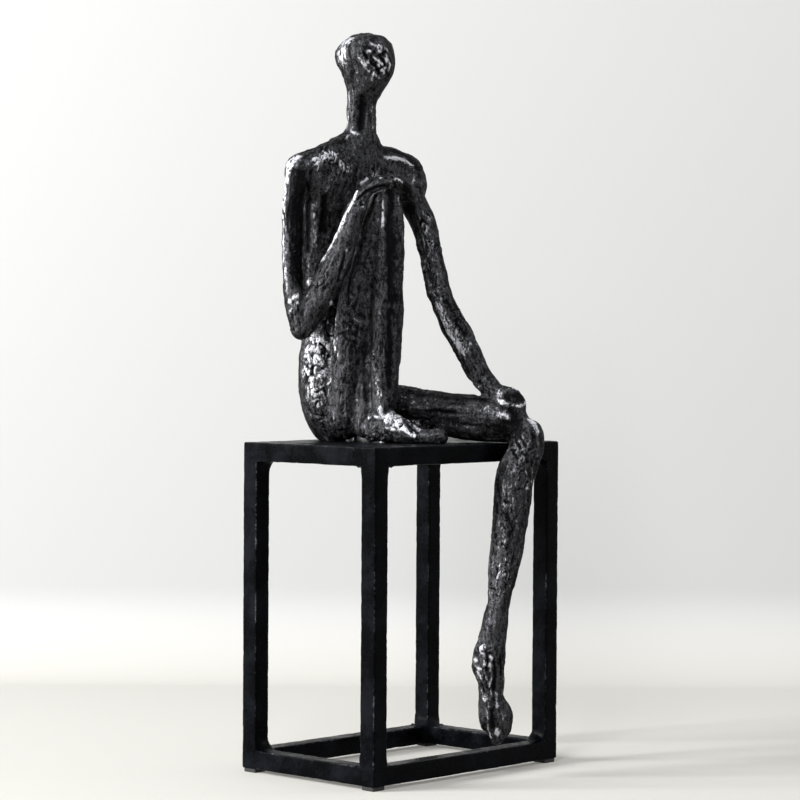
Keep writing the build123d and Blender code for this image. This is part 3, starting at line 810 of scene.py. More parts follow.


# Each stroke's fourth number is painted light: a painted highlight where above zero, painted shade
# where below, over partly real rubbed silver and patina black.
STROKES: tuple[Stroke, ...] = (
    # head
    Stroke(
        ((1.9, -16.1, 211.9), (-0.9, -15.9, 210), (-1.3, -18.1, 206.2), (-1.4, -18.1, 201.4)),
        4.48, 0, 1.2, -0.4,
    ),
    Stroke(((-2, -17.8, 204.7),), 0.9, 0, -1.2),
    Stroke(
        ((4.2, -20, 209.1), (4.5, -21.1, 201), (4.8, -18.1, 193.6), (5.1, -15.2, 187)),
        1.5, 0, -0.7,
    ),
    Stroke(((15.8, -18.5, 209.4), (18.6, -17.1, 207.4), (19.5, -16.6, 205.5)), 1.12, 0.56, 1),
    Stroke(((19.1, -16.6, 208.5), (22.1, -13.3, 206.2), (23.2, -11.6, 203.2)), 1.12, 0.48, 1),
    Stroke(((13.2, -20.6, 205.1), (16.2, -19.4, 206.2), (18.2, -17.4, 204.2)), 0.98, 0.4, 0.7),
    Stroke(((22.1, -13.9, 201.4), (23.4, -10.7, 199.1), (22.5, -11.3, 196.3)), 1.12, 0.48, 0.9),
    Stroke(
        ((10.2, -21.6, 202.4), (11.6, -20.7, 198.9), (14.7, -18.5, 195.3), (18, -14.7, 192.5)),
        1.12, 0.48, 0.8,
    ),
    Stroke(((16.9, -18.6, 202.1), (19.6, -16.6, 200), (21.6, -13.6, 197.1)), 0.98, 0.4, 0.8),
    Stroke(((18.8, -17.2, 198), (21, -13.3, 195), (18.8, -13.5, 192)), 0.98, 0.4, 0.7),
    Stroke(((14.2, -20, 200), (16.8, -18, 197.4)), 0.98, 0.4, 0.5),
    Stroke(((15, -19.8, 207.3), (17.4, -18.3, 204.7)), 0.7, -0.8, -1.1),
    Stroke(((19.1, -16.9, 203.9), (21.2, -14.8, 200.8), (21.6, -14, 198.9)), 0.7, -0.8, -1.1),
    Stroke(((12.2, -21.3, 204.9), (13.6, -20.4, 201.9)), 0.7, -0.7, -1),
    Stroke(((15.4, -18.9, 199.4), (17.9, -17.5, 197.4), (18.9, -15.4, 194.1)), 0.7, -0.8, -1.1),
    Stroke(((17, -18.6, 205.7), (15.6, -19.7, 203), (16.5, -18.6, 201.1)), 0.6, -0.6, -0.9),
    Stroke(((21.7, -13.9, 205.5), (20.2, -16, 204.4)), 0.6, -0.5, -0.8),
    Stroke(((21.7, -12.2, 195.2), (22.2, -8, 193.5)), 0.6, -0.5, -0.8),
    Stroke(((13.9, -19.2, 196.7), (15.6, -17.7, 194.4)), 0.6, -0.5, -0.8),
    Stroke(((15.3, -16.6, 191.2), (18, -12.5, 189.5)), 0.98, 0.16, 0.5),
    Stroke(((10.7, -20.2, 210.4), (13.6, -18.4, 211.6)), 1.12, 0.24, 0.4),
    Stroke(((20.8, -15, 207.6), (22.9, -12.2, 204.2), (23.7, -10, 200.6)), 0.6, -0.7, -0.9),
    Stroke(((18.2, -16.9, 195.9), (21.2, -14.5, 198.2)), 0.6, -0.7, -0.9),
    Stroke(((18.8, -17.1, 206.3), (19.5, -16.1, 197)), 6, 0, 0, 0.9),
    Stroke(((10.9, -20, 196.8), (10.2, -15.6, 185.7)), 7, 0, 0.2, -0.9),
    Stroke(
        ((1, -11.8, 185.2), (1.3, -11.2, 178.2), (0.5, -10.7, 171.4), (-1, -10.5, 165.5)),
        0.98, 0.24, 0.8,
    ),
    Stroke(((8.9, -13.5, 181.7), (8.9, -11.2, 174.5), (8, -12.4, 165.9)), 2.2, -0.7, -1),
    Stroke(((13.4, -10.1, 180.7), (13.5, -8.2, 165.1)), 1.2, 0.3, 0.3),
    # neck and shoulders
    Stroke(((1.8, -17, 160.4), (3.8, -14.5, 163.6), (6, -14.4, 162.7)), 1.26, 0.4, 0.7, 0.6),
    Stroke(((2.3, -13.5, 165.1), (4.6, -13.7, 166.9)), 1.12, 0.32, 0.4, 0.4),
    Stroke(((-18, -27.5, 152.9), (-7.8, -24.8, 155.4), (-0.3, -19.1, 158.7)), 1.8, 0, -0.8),
    Stroke(((-13.6, -33.7, 145.9), (-10.9, -30.9, 149.2), (-6.1, -28.3, 149.9)), 1.68, 0.4, 0.7),
    Stroke(((-6.1, -28.3, 149.9), (-0.8, -24.8, 147.9), (4.4, -20, 144)), 1.96, 0.32, 0.6),
    Stroke(((-9.6, -30.9, 146.6),), 2.52, 0.72, 1),
    Stroke(((-4.6, -26.3, 152.5), (-1.1, -25, 150.4)), 1.12, 0.32, 0.7),
    Stroke(((0.3, -24.3, 145.3), (3.1, -20.9, 142.2)), 1.12, 0.32, 0.6),
    Stroke(((-8.8, -26.9, 153), (-6.5, -27.4, 151.9)), 0.98, 0.24, 0.6),
    Stroke(((-10.7, -31.1, 148.2), (2.2, -21.8, 145.3)), 5.5, 0, 0, 0.9),
    Stroke(
        ((-13.6, -27, 124.8), (-13.4, -25.4, 114.2), (-13.4, -23.9, 103.8)),
        1.82, 0.64, 0.5, -0.4,
    ),
    Stroke(((-7.6, -26.7, 128.4), (-7.8, -24.4, 119.6), (-8.6, -23.5, 111.7)), 2.2, -1, -1),
    Stroke(((-13.7, -35.1, 134.8), (-17, -26.8, 124.8), (-17.3, -23.7, 101.2)), 1.5, -0.8, -1.2),
    Stroke(
        ((18.5, -2.2, 150.6), (22.5, 3.5, 150.7), (26, 7.7, 149.9), (29.9, 11.9, 146.6)),
        1.4, 0.64, 1,
    ),
    Stroke(
        ((16, -3.6, 156.4), (21.5, 6.2, 154.8), (27.1, 11.7, 151.9), (32.1, 14.4, 145.6)),
        1.6, 0, -1,
    ),
    Stroke(((20.2, -4, 144.1), (30.6, -21.3, 140.6)), 2, -0.5, -0.8),
    Stroke(((22.4, 3.1, 147.3), (28.7, 10.3, 143.8)), 5, 0, 0.1, 0.7),
    Stroke(((-2.1, -24.7, 135.3), (5.6, -34.3, 119), (7.8, -38.7, 108.5)), 8, 0, 0.15, -0.5),
    Stroke(((23.4, 4.8, 148.4), (29.8, 10.6, 140.6)), 5, 0, 0.15),
    Stroke(((36.4, -20.3, 132.5), (27.6, 11.1, 124.1)), 4.2, -0.5, -1, -0.8),
    # right arm
    Stroke(
        (
            (-16.1, -38.1, 140.4), (-16.2, -39.3, 126.8), (-15.6, -42.3, 105.8), (-15, -42.7, 91.2),
            (-14.3, -44, 82.9),
        ),
        2.4, -0.6, -1.3,
    ),
    Stroke(
        ((-14.2, -37.2, 136.1), (-18, -25.8, 119.6), (-19.2, -22.9, 101.2), (-20.6, -20.3, 82.8)),
        1.5, 0, -1.4,
    ),
    Stroke(((-23.9, -34.8, 147.5), (-24.5, -37.8, 140), (-23.8, -41.4, 129.3)), 3.22, 0.16, 1.2),
    Stroke(((-24.4, -41.6, 126.7), (-23.9, -43.4, 111), (-23.4, -45.9, 94.4)), 1.96, 0.24, 1.1),
    Stroke(((-22.5, -46.6, 90.1), (-21.1, -47.4, 79.6)), 1.68, 0.16, 0.8),
    Stroke(((-20.2, -34.2, 149.6), (-22.1, -36.9, 146.4)), 2.52, 0, 1.1),
    Stroke(((-21.1, -38.2, 143.6), (-21.4, -41.9, 131.8), (-21.1, -44.1, 118.9)), 0.8, -0.4, -1),
    Stroke(
        ((-19.5, -39, 141.5), (-18.8, -42.4, 126.7), (-18.3, -45.2, 105.6), (-16.6, -47.2, 85)),
        2.2, -0.1, -1.4,
    ),
    Stroke(
        (
            (-19.3, -48.7, 74), (-15.3, -47.9, 76.4), (-17.9, -21.9, 83.9), (-4.6, -37.9, 95.3),
            (2.3, -36.5, 107.5),
        ),
        1.54, 0.56, 1.2,
    ),
    Stroke(
        (
            (2.3, -36.5, 107.5), (7.2, -34.9, 119.5), (10.6, -34.3, 125.4), (12.1, -31.6, 131),
            (9.3, -14, 136.7), (11.5, -12.3, 138.7),
        ),
        1.4, 0.64, 1.2,
    ),
    Stroke(((-18.7, -49, 68.7), (-14.6, -48.4, 72.9)), 1.12, 0.24, 0.9),
    Stroke(((-23, -40.4, 134.2), (-22.7, -43.4, 124.1), (-21.3, -45.2, 109.9)), 0.7, -0.2, -1.3),
    Stroke(((-23.9, -43.1, 119.4), (-23, -45, 105.8)), 0.6, -0.2, -1.1),
    Stroke(((-25.7, -35.7, 143.8), (-25.7, -36.5, 139.5)), 0.6, -0.2, -1),
    Stroke(
        (
            (-13.5, -48.5, 68.3), (-6, -46, 78.2), (1.1, -43, 90.6), (8, -39.6, 104.8),
            (13.4, -36, 119.4),
        ),
        2.4, 0, -0.35,
    ),
    Stroke(((14.3, -9.5, 141.1), (23.9, -28.9, 138.5)), 1.12, 0.4, 1.1),
    Stroke(((31.3, -25.2, 138.1), (33.7, -23.4, 136.4)), 1.26, 0.48, 1.2),
    Stroke(((25.1, -24.2, 140.8), (22.1, -1.1, 143.2), (30.9, -20.9, 140.6)), 1.1, -0.6, -1.1),
    Stroke(
        ((25.9, -28.6, 134.4), (22, -30.3, 133.6), (17.6, -32.4, 131.5), (13.3, -34, 127.8)),
        0.8, -1, -1.2,
    ),
    Stroke(((26.7, -28.3, 138.5), (27.4, -26.7, 133.8)), 0.7, -0.7, -0.9),
    Stroke(((29.8, -25.8, 139.1), (30.6, -24.5, 133.9)), 0.7, -0.7, -0.9),
    Stroke(((28.8, -27.7, 136.3), (28.4, -24.6, 132.9)), 1.12, 0.32, 0.4),
    # raised leg
    Stroke(
        ((18.4, -29.5, 127.7), (20, -28.4, 130.1), (22.7, -26.7, 131.8), (25, -25.8, 132.2)),
        1.12, 0.4, 1.2,
    ),
    Stroke(((24.9, -26.2, 127.1), (24.8, -27, 114)), 1.12, 0.32, 0.8),
    Stroke(((22.3, -25.8, 128.2), (22, -26.4, 114.1)), 1.5, 0, 0.3, -0.5),
    Stroke(
        ((28.2, -24, 130.8), (29, -26.3, 114), (29.4, -26.9, 93.2), (29.9, -26.8, 74.9)),
        2.4, -0.8, -1.3,
    ),
    Stroke(((31.3, -21.2, 128.8), (31.8, -21, 125.7)), 1.12, 0.16, 0.8),
    Stroke(((8.3, -40.5, 99.6), (5, -41.5, 85.1), (-6.3, -15.8, 70.7)), 0.7, -0.6, -1),
    Stroke(((9, -24.5, 97.4), (5.4, -25.1, 80.1)), 0.7, -0.5, -0.9),
    Stroke(
        ((1.3, -41.5, 73.5), (-2.2, -20.8, 66.4), (-3.2, -20.4, 55.4), (-0.6, -23.7, 46)),
        1.12, 0.32, 0.5, 0.3,
    ),
    Stroke(
        ((3.9, -25.3, 68.6), (6.7, -25.8, 66.4), (8.8, -25.4, 61.7), (12.7, -23.6, 59.2)),
        0.9, -0.25, -0.5,
    ),
    Stroke(
        ((2.7, -24.6, 63.3), (6.2, -25.6, 61.8), (8.1, -25.1, 57), (12.1, -23.7, 54.8)),
        0.8, -0.25, -0.5,
    ),
    Stroke(
        ((5, -25.6, 73.2), (7.9, -25.8, 71.7), (10.4, -25.1, 67.5), (13.7, -23.5, 65.9)),
        0.8, -0.2, -0.45,
    ),
    Stroke(((1.2, -24.3, 57), (5, -25.2, 54.3), (9.8, -24.4, 52.3)), 0.8, -0.2, -0.45),
    Stroke(((7.8, -25.5, 65.4), (11.8, -24.3, 63.3)), 0.98, 0.24, 0.4),
    Stroke(((4.3, -25.1, 60.2), (9.2, -24.8, 59.2)), 0.7, 0.3, 0.35),
    Stroke(((23.7, -27.9, 72.3), (23.1, -27.3, 53.8), (21.3, -25.9, 40.9)), 1.5, 0.2, 0, 0.6),
    Stroke(((20, -25.8, 40.3), (22.6, -26.9, 33)), 1.26, 0.24, 0.45, 0.5),
    Stroke(((29, -27.1, 69.6), (28.3, -26, 48.8), (28.2, -25.6, 30.4)), 2, -0.3, -0.8),
    Stroke(((32.9, -23.4, 74.9), (32.4, -21.5, 54), (31.4, -20.6, 35.7)), 1, 0, 0.2, -0.5),
    Stroke(((14.8, -23.1, 59.2), (13.6, -22.5, 38), (14.8, -22.4, 22.3)), 1.8, -0.4, -0.6),
    Stroke(((9.2, -24.7, 48.7), (7.4, -23.8, 30.2)), 3.5, 0, -0.35),
    Stroke(((11.6, -22.4, 19.7), (10.5, -22.6, 9.1)), 4, 0, 0.2, -0.9),
    Stroke(((25.6, -27.4, 108.7), (27.1, -27.9, 74.9), (27.4, -26.7, 43.4)), 4.5, 0, -0.22, -0.3),
    Stroke(((31.8, -24.4, 106.2), (31.6, -21.9, 43.5)), 2.5, 0, -0.25, -0.3),
    Stroke(((10.4, -25.4, 93.3), (7.7, -25.2, 59.2), (9.3, -22.6, 30.1)), 5.5, 0, -0.14, -0.2),
    Stroke(((3.2, -24.7, 74.9), (2.7, -24.7, 53.8)), 4, 0, -0.12, 0.4),
    Stroke(((7.9, -26, 74.7), (6.5, -25.1, 59.1)), 6, 0, 0, 0.4),
    # hip
    Stroke(((-15.6, -20.9, 53.7), (-17.9, -21.2, 46.3), (-19.9, -21.5, 36.6)), 4.48, 0, 0.6, 0.2),
    Stroke(((-12.3, -21.3, 52.7), (-12.7, -23.4, 37.9), (-13.5, -24.2, 23.1)), 4.76, 0, 0.6, 0.2),
    Stroke(((-8, -19.1, 53.7), (-6.6, -22.5, 30.6)), 3.92, 0, 0.5, 0.3),
    Stroke(((0.9, -42, 73), (-5.4, -16.5, 59.1), (-1.7, -23, 47.5)), 1.68, 0.16, 0.5, 0.4),
    Stroke(((-17.1, -23.1, 30.5), (-18.3, -22.6, 35.2)), 0.5, -0.5, -1.3),
    Stroke(((-14.5, -23, 39.9), (-14.8, -23.5, 35.3)), 0.5, -0.5, -1.3),
    Stroke(((-11.2, -21.2, 52.1), (-8.1, -20.2, 49), (-8.8, -21.5, 44.3)), 0.5, -0.5, -1.3),
    Stroke(((-11.9, -24.1, 26.2), (-8.2, -22.9, 28.4), (-7.3, -22.5, 24.8)), 0.5, -0.5, -1.2),
    Stroke(
        ((-19.3, -20, 50.4), (-17, -20.7, 53.2), (-15, -21.6, 51), (-13.3, -21.1, 52)),
        0.45, -0.22, -0.85,
    ),
    Stroke(
        ((-19.9, -21, 41.5), (-16, -23.3, 38.4), (-12.7, -23.2, 40.6), (-8.4, -22.7, 38.3)),
        0.45, -0.22, -0.85,
    ),
    Stroke(((-17, -23.2, 34.2), (-14.2, -23.5, 36.3), (-11.3, -23.8, 31.1)), 0.45, -0.22, -0.85),
    Stroke(((-11.4, -23.7, 37.3), (-6.6, -21.4, 40.5), (-1.9, -22.9, 45.9)), 0.45, -0.22, -0.85),
    Stroke(((-15.7, -24, 27.8), (-11.3, -23.7, 29)), 0.45, -0.22, -0.85),
    Stroke(((-15.4, -21.9, 46.9), (-10.9, -22.1, 46), (-7.2, -19.8, 48)), 0.45, -0.22, -0.85),
    Stroke(((-7.2, -22.6, 34.2), (-9.2, -23.6, 30)), 0.45, -0.22, -0.85),
    Stroke(((-19.2, -20.3, 47.9), (-16.1, -21.7, 48.9), (-12.6, -21.9, 48.5)), 1.12, 0.32, 0.6),
    Stroke(((-18.6, -22.4, 38.3), (-16.7, -23.2, 35.7)), 1.26, 0.24, 0.7),
    Stroke(((-14.2, -22.3, 43.8), (-9.5, -22.4, 42.7)), 1.26, 0.32, 0.6),
    Stroke(((-15.1, -23.9, 32.1), (-13.3, -24.4, 26.7)), 1.68, 0.24, 0.8),
    Stroke(((-10.1, -24, 34.7), (-7.5, -22.4, 37.3)), 1.12, 0.24, 0.6),
    Stroke(((-10.2, -20.6, 53.7), (-7.2, -19.4, 50.5)), 1.12, 0.24, 0.6),
    Stroke(((-19.7, -20.5, 44.8), (-17.4, -22, 42.7)), 0.98, 0.24, 0.6),
    Stroke(((-15.1, -22.5, 17.8), (-5.2, -21.9, 8.9)), 5, 0, -0.15, 0.7),
    Stroke(((-6.1, -19.6, 47.4), (-7.8, -21.3, 42.7), (-5.3, -22, 37)), 0.5, -0.2, -1.1),
    Stroke(((-16.3, -23.8, 25.1), (-13.5, -24, 22.6), (-10.2, -23.7, 23.7)), 0.5, -0.2, -1.1),
    Stroke(((-14.6, -24.1, 24.1), (-11.9, -23.5, 20.4)), 4.76, 0, 0.45, 0.4),
    # raised foot
    Stroke(
        ((28.1, -26.6, 12.1), (30.2, -24.1, 15.2), (34.3, -25.3, 12.7), (32.5, -26.8, 10.2)),
        2.8, 0.32, 1.2,
    ),
    Stroke(((36.7, -27.4, 8.7), (39.5, -28.3, 5.5), (42.8, -28.3, 4)), 1.54, 0.32, 1.2),
    Stroke(
        (
            (19.5, -25.7, 34), (21.4, -26.2, 30.9), (23.1, -26.4, 26.7), (24.3, -26.4, 23.1),
            (24.9, -26.5, 18.5),
        ),
        1.82, 0.24, 0.5, 0.8,
    ),
    Stroke(((23.6, -26.7, 17.4), (25.3, -26.4, 14.1), (27.6, -26.6, 12.2)), 1.4, 0.32, 1.2),
    Stroke(((38.3, -23, 11.5), (41.3, -23.9, 9.5), (45.3, -25.9, 7.3)), 1.26, 0.4, 1),
    Stroke(((33.2, 1.3, 11.5), (36.6, 1.3, 9.3)), 0.98, 0.32, 0.8),
    Stroke(((28.4, -27.6, 7.5), (32.2, -27.7, 6.9), (35, -27.7, 6.5)), 1.12, 0.24, 0.7),
    Stroke(((37.9, -26.1, 10.8), (40.7, -26.9, 8.1), (44.9, -27.9, 5.6)), 0.6, -0.6, -1),
    Stroke(((28.5, -24.3, 18.9), (29.9, -20, 17.2)), 1.4, 0, -0.9),
    Stroke(((16.7, -22.7, 12.9), (18.6, -23.7, 14.5), (22.7, -26.4, 13.6)), 1.12, 0.24, 0.6),
    Stroke(((37.4, -26.9, 9.6), (42.9, -26.9, 7.2)), 4, 0, 0, 0.8),
    # lap thigh
    Stroke(((28.4, 0.9, 22), (33.2, 1.1, 22.5), (40.3, -0.4, 21.1)), 2.4, 0, 0.25, 0.8),
    Stroke(((34.2, 0, 20.6),), 1.12, 0.24, 1),
    Stroke(((55.8, -0.7, 10.8), (60.1, -0.1, 8.7)), 3, 0, 0.25, -1),
    Stroke(((41.2, -1.3, 16.2), (49.4, -1.5, 16.6), (57.7, -1.8, 16.1)), 1.2, -0.4, -0.8),
    Stroke(((31.4, 3.8, 25.8), (42.9, 2.2, 24.3), (59.6, 1.5, 23), (73, 2.4, 22.5)), 1.3, 0, -0.8),
    Stroke(((66, -2.1, 16.3), (71.5, -1.7, 12)), 3, 0, 0.1, 0.4),
    # left hand and knee
    Stroke(((81.4, 1.8, 25.9), (80.8, 2.1, 23.6), (81.8, 2.1, 21.5)), 2.1, 0.4, 1.2),
    Stroke(
        (
            (83.4, 2.2, 21.6), (86.6, 2.3, 20.1), (90.4, 2.1, 19.6), (93.3, 3.4, 20.1),
            (93.9, 6.4, 21.6),
        ),
        1.26, 0.48, 1.2,
    ),
    Stroke(((85.2, 1.2, 24.8), (88.9, 1.7, 25.5), (92.3, 4, 24.4)), 2.8, -0.5, -1.2, -0.9),
    Stroke(((84, 2.1, 27.4), (87.6, 4.9, 28.5), (90.9, 5.5, 27)), 0.98, 0.4, 0.5),
    Stroke(((75.7, -1.6, 18), (80.1, -1.8, 15.8), (83.2, -1.6, 13.8)), 3.08, 0, 0.7, 0.3),
    Stroke(((74.6, -1.9, 10), (81, -0.9, 7.4), (85.7, -0, 5.4)), 3.6, 0, -0.9),
    Stroke(((85, -1.1, 10.7), (87.4, -0.4, 6.5)), 2.6, -0.3, -1.2),
    Stroke(((84.7, -0.8, 15.4), (86.4, -0.8, 13.3)), 1.68, 0.32, 1.2),
    Stroke(((97, 3.9, 12.6), (99.9, 1.4, 10.3), (102.1, 1.6, 6.7)), 2.24, 0.08, 1.2, -0.3),
    Stroke(
        ((87.9, 1.5, 17.5), (90.4, 0.2, 13.3), (92.4, -0.6, 8.1), (90.8, -1, 4.5)),
        2.6, -0.7, -1.4,
    ),
    # left arm
    Stroke(((46.6, 4.6, 72.2), (48.3, 4.9, 68.1), (50.7, 4.6, 63.2)), 2.52, 0.16, 1.2, -0.5),
    Stroke(((53.6, 5, 57.3), (56.9, 4.3, 52.6), (60, 3.8, 47.8)), 2.66, 0.08, 1.1, 0.2),
    Stroke(((51.1, 5.1, 73.8), (56.6, 5.3, 64.7), (61.2, 4.7, 57.3)), 2.2, 0, -1.2, 0.2),
    Stroke(((41.8, 6.9, 83.4), (43.7, 5.6, 78.5)), 1.12, 0.16, 0.7),
    Stroke(
        ((37.1, 8.7, 115.3), (42.5, 6.2, 96.6), (48.5, 4.5, 75.4), (61.5, 3.5, 51.5)),
        5, 0, 0.33, 0.8,
    ),
    Stroke(((43.2, 11.1, 104.8), (49, 10.3, 87.6), (58.7, 7.6, 65.8)), 1.4, 0, -0.6),
    Stroke(((55.7, 4.7, 51.5), (64.6, 3.5, 39.4)), 3, 0, -0.2, 0.3),
    # hanging leg
    Stroke(((90.3, -1.3, 1.9), (93.7, -3.7, -2.2)), 0.7, -0.6, -1),
    Stroke(((93.2, -2.1, 3.4), (96.9, -3.6, -1.2)), 0.7, -0.6, -1),
    Stroke(((89.1, -2.9, -3.4), (92.9, -6.8, -7.3)), 0.7, -0.6, -1),
    Stroke(((95.2, -5.3, -4.2), (98, -5, -9.5)), 0.7, -0.6, -1),
    Stroke(((89.2, -13.2, -37), (91.7, -14, -44.7), (90.4, -15.5, -54.2)), 1.5, -0.5, -0.9),
    Stroke(((84.7, -10.2, -29.5), (85.1, -13.1, -44.9)), 1.4, 0, 0.5),
    Stroke(((83.3, -9, -18.9), (83, -11.6, -39.8), (82.4, -15.5, -60.5)), 0.9, 0, -0.7),
    Stroke(((90.2, -10.9, -18.9), (89.5, -12.2, -31.8)), 4, 0, 0.25, 0.5),
    Stroke(((88.4, -14.3, -44.7), (87.4, -20, -81)), 5, 0, 0.1, 0.6),
    Stroke(((90.7, -9.5, -13.6), (89.4, -13.8, -39.6), (87, -18.5, -70.6)), 6, 0, 0.22, 0.3),
    Stroke(((79.3, -26, -105.1),), 1.68, 0.4, 1.2),
    Stroke(((76.3, -26.1, -111.9),), 1.54, 0.4, 1.2),
    Stroke(((78.2, -26.8, -116.4), (78.5, -26.1, -120.7)), 1.26, 0.32, 1.1),
    Stroke(((81.8, -28.5, -113.5), (83.7, -27, -114.6)), 1.26, 0.32, 1),
    Stroke(((80.9, -24.3, -132.2),), 1.96, 0.24, 0.9),
    Stroke(((87, -23, -130), (87.1, -23.3, -135.8)), 1.4, 0.32, 1),
    Stroke(((86.9, -22.4, -147.9), (86.9, -21.5, -150.7)), 1.26, 0.32, 1),
    Stroke(
        (
            (84.5, -26.7, -110), (84.4, -25.7, -120.6), (83.6, -26.4, -125.6),
            (84.3, -25.2, -130.6), (83.4, -25.6, -136.2), (82.7, -24.1, -142.2),
            (82.5, -22.2, -148.2), (83.8, -20.8, -153),
        ),
        1.12, 0.64, 0.5,
    ),
    Stroke(((82.1, -27.4, -107.4), (83.2, -27.9, -111.5), (82.4, -28.2, -116.7)), 0.6, -0.6, -1.1),
    Stroke(((85.9, -25.7, -112.7), (86.3, -24.7, -119.5), (85.5, -23.7, -127.4)), 0.7, -0.6, -1),
    Stroke(((88.8, -24.2, -109.2), (88.9, -22.6, -119.5)), 0.6, -0.5, -0.9),
    Stroke(((79.3, -25, -124.3), (80.4, -24.4, -128.6)), 0.7, -0.5, -1),
    Stroke(((85, -25.1, -138.8), (85.1, -23.5, -146.8)), 1.5, -0.5, -1),
    Stroke(((90.9, -21.3, -138), (91.6, -19.7, -147.7)), 3, 0, 0.05, -1),
    Stroke(((81.2, -28.2, -108.9), (81, -24.9, -127.5)), 5, 0, 0.12, 0.8),
)


@dataclass(frozen=True)
class Relief:
    """The cast relief: what hand-worked wax leaves on the metal. Heights and sizes in mm.

    A size of three numbers is a pattern's size across the limb, through it and along it. A bend
    says how far a pattern is pushed aside, in its own cells. A pair named for a patch is a
    strength outside worked patches and what a patch adds to it.
    """

    lumps: float = 0.50
    streaks: float = 0.46
    bark: float = 0.30
    crevices: float = 0.62
    fine: float = 0.14
    lump_size: float = 12.0
    patch_size: float = 18.0
    fine_size: float = 1.5
    bend_size: float = 6.0
    streak_size: Triple = (3.4, 3.4, 17.0)
    bark_size: Triple = (2.3, 2.3, 4.6)
    web_size: Triple = (3.6, 3.6, 8.0)
    gate_size: Triple = (4.0, 4.0, 7.0)
    streak_bend: float = 0.35
    bark_bend: float = 0.7
    web_bend: float = 0.8
    bark_crest: Span = (0.18, 0.3)
    crevice_span: Span = (0.02, 0.16)
    gate_span: Span = (0.0, 0.30)
    patch_span: Span = (-0.05, 0.55)
    patch_streaks: Span = (1.0, -0.3)
    patch_bark: Span = (0.45, 0.9)
    patch_fine: Span = (0.4, 0.8)
    rough_share: float = 0.8
    least_share: float = 0.25

    def local(self, rows: np.ndarray, seed: int) -> np.ndarray:
        """Relief that runs with a limb.

        Formula: streaks are layered noise stretched five times along the limb; bark is a finer
        one, bent, whose crests are flattened; crevices follow the zero lines of a bent noise,
        one less the noise's size over a small width, and break off where a second is low.

        Args:
            rows: width offset, depth offset and length along the limb, in mm.
            seed: number that sets one limb's noise apart from the next.

        Returns:
            Rows of streaks, bark and crevices, each from about 0 to 1.
        """
        bend = Grain(seed + 5).push(rows / self.bend_size)
        cells = rows / np.array(self.streak_size) + self.streak_bend * bend
        streaks = Grain(seed + 11).layers(cells, 2)
        chips = Grain(seed + 37).layers(rows / np.array(self.bark_size) + self.bark_bend * bend, 2)
        bark = np.minimum(chips, self.bark_crest[0] + self.bark_crest[1] * chips)
        web = Grain(seed + 23).noise(rows / np.array(self.web_size) + self.web_bend * bend)
        gate = smooth_step(*self.gate_span, Grain(seed + 51).noise(rows / np.array(self.gate_size)))
        crevices = (1.0 - smooth_step(*self.crevice_span, np.abs(web))) * gate
        return np.stack([streaks, bark, crevices])

    def height(
        self, mm: np.ndarray, local: np.ndarray, rough: np.ndarray
    ) -> tuple[np.ndarray, ...]:
        """The whole relief.

        Formula: lumps, streaks, bark and fine grain are added and the crevices taken off; in
        worked patches bark and grain are stronger, and smoothed places keep a part of it all.

        Args:
            mm: places of the skin in mm.
            local: rows of streaks, bark and crevices.
            rough: how worked the strokes leave each place, below zero where it is smoothed.

        Returns:
            Heights in mm, and the shares of worked patch and of crevice.
        """
        streaks, bark, crevices = local
        lumps = Grain(3).layers(mm / self.lump_size, 2)
        patch = Grain(57).layers(mm / self.patch_size, 2) + rough
        patch = smooth_step(*self.patch_span, patch)
        crevices = crevices * patch
        fine = Grain(71).layers(mm / self.fine_size, 2)
        on_streaks, on_bark, on_fine = (
            plain + more * patch
            for plain, more in (self.patch_streaks, self.patch_bark, self.patch_fine)
        )
        height = (
            self.lumps * lumps
            + self.streaks * streaks * on_streaks
            + self.bark * bark * on_bark
            - self.crevices * crevices
            + self.fine * fine * on_fine
        )
        share = np.clip(1.0 + self.rough_share * rough, self.least_share, 1.0)
        return height * share, patch, crevices


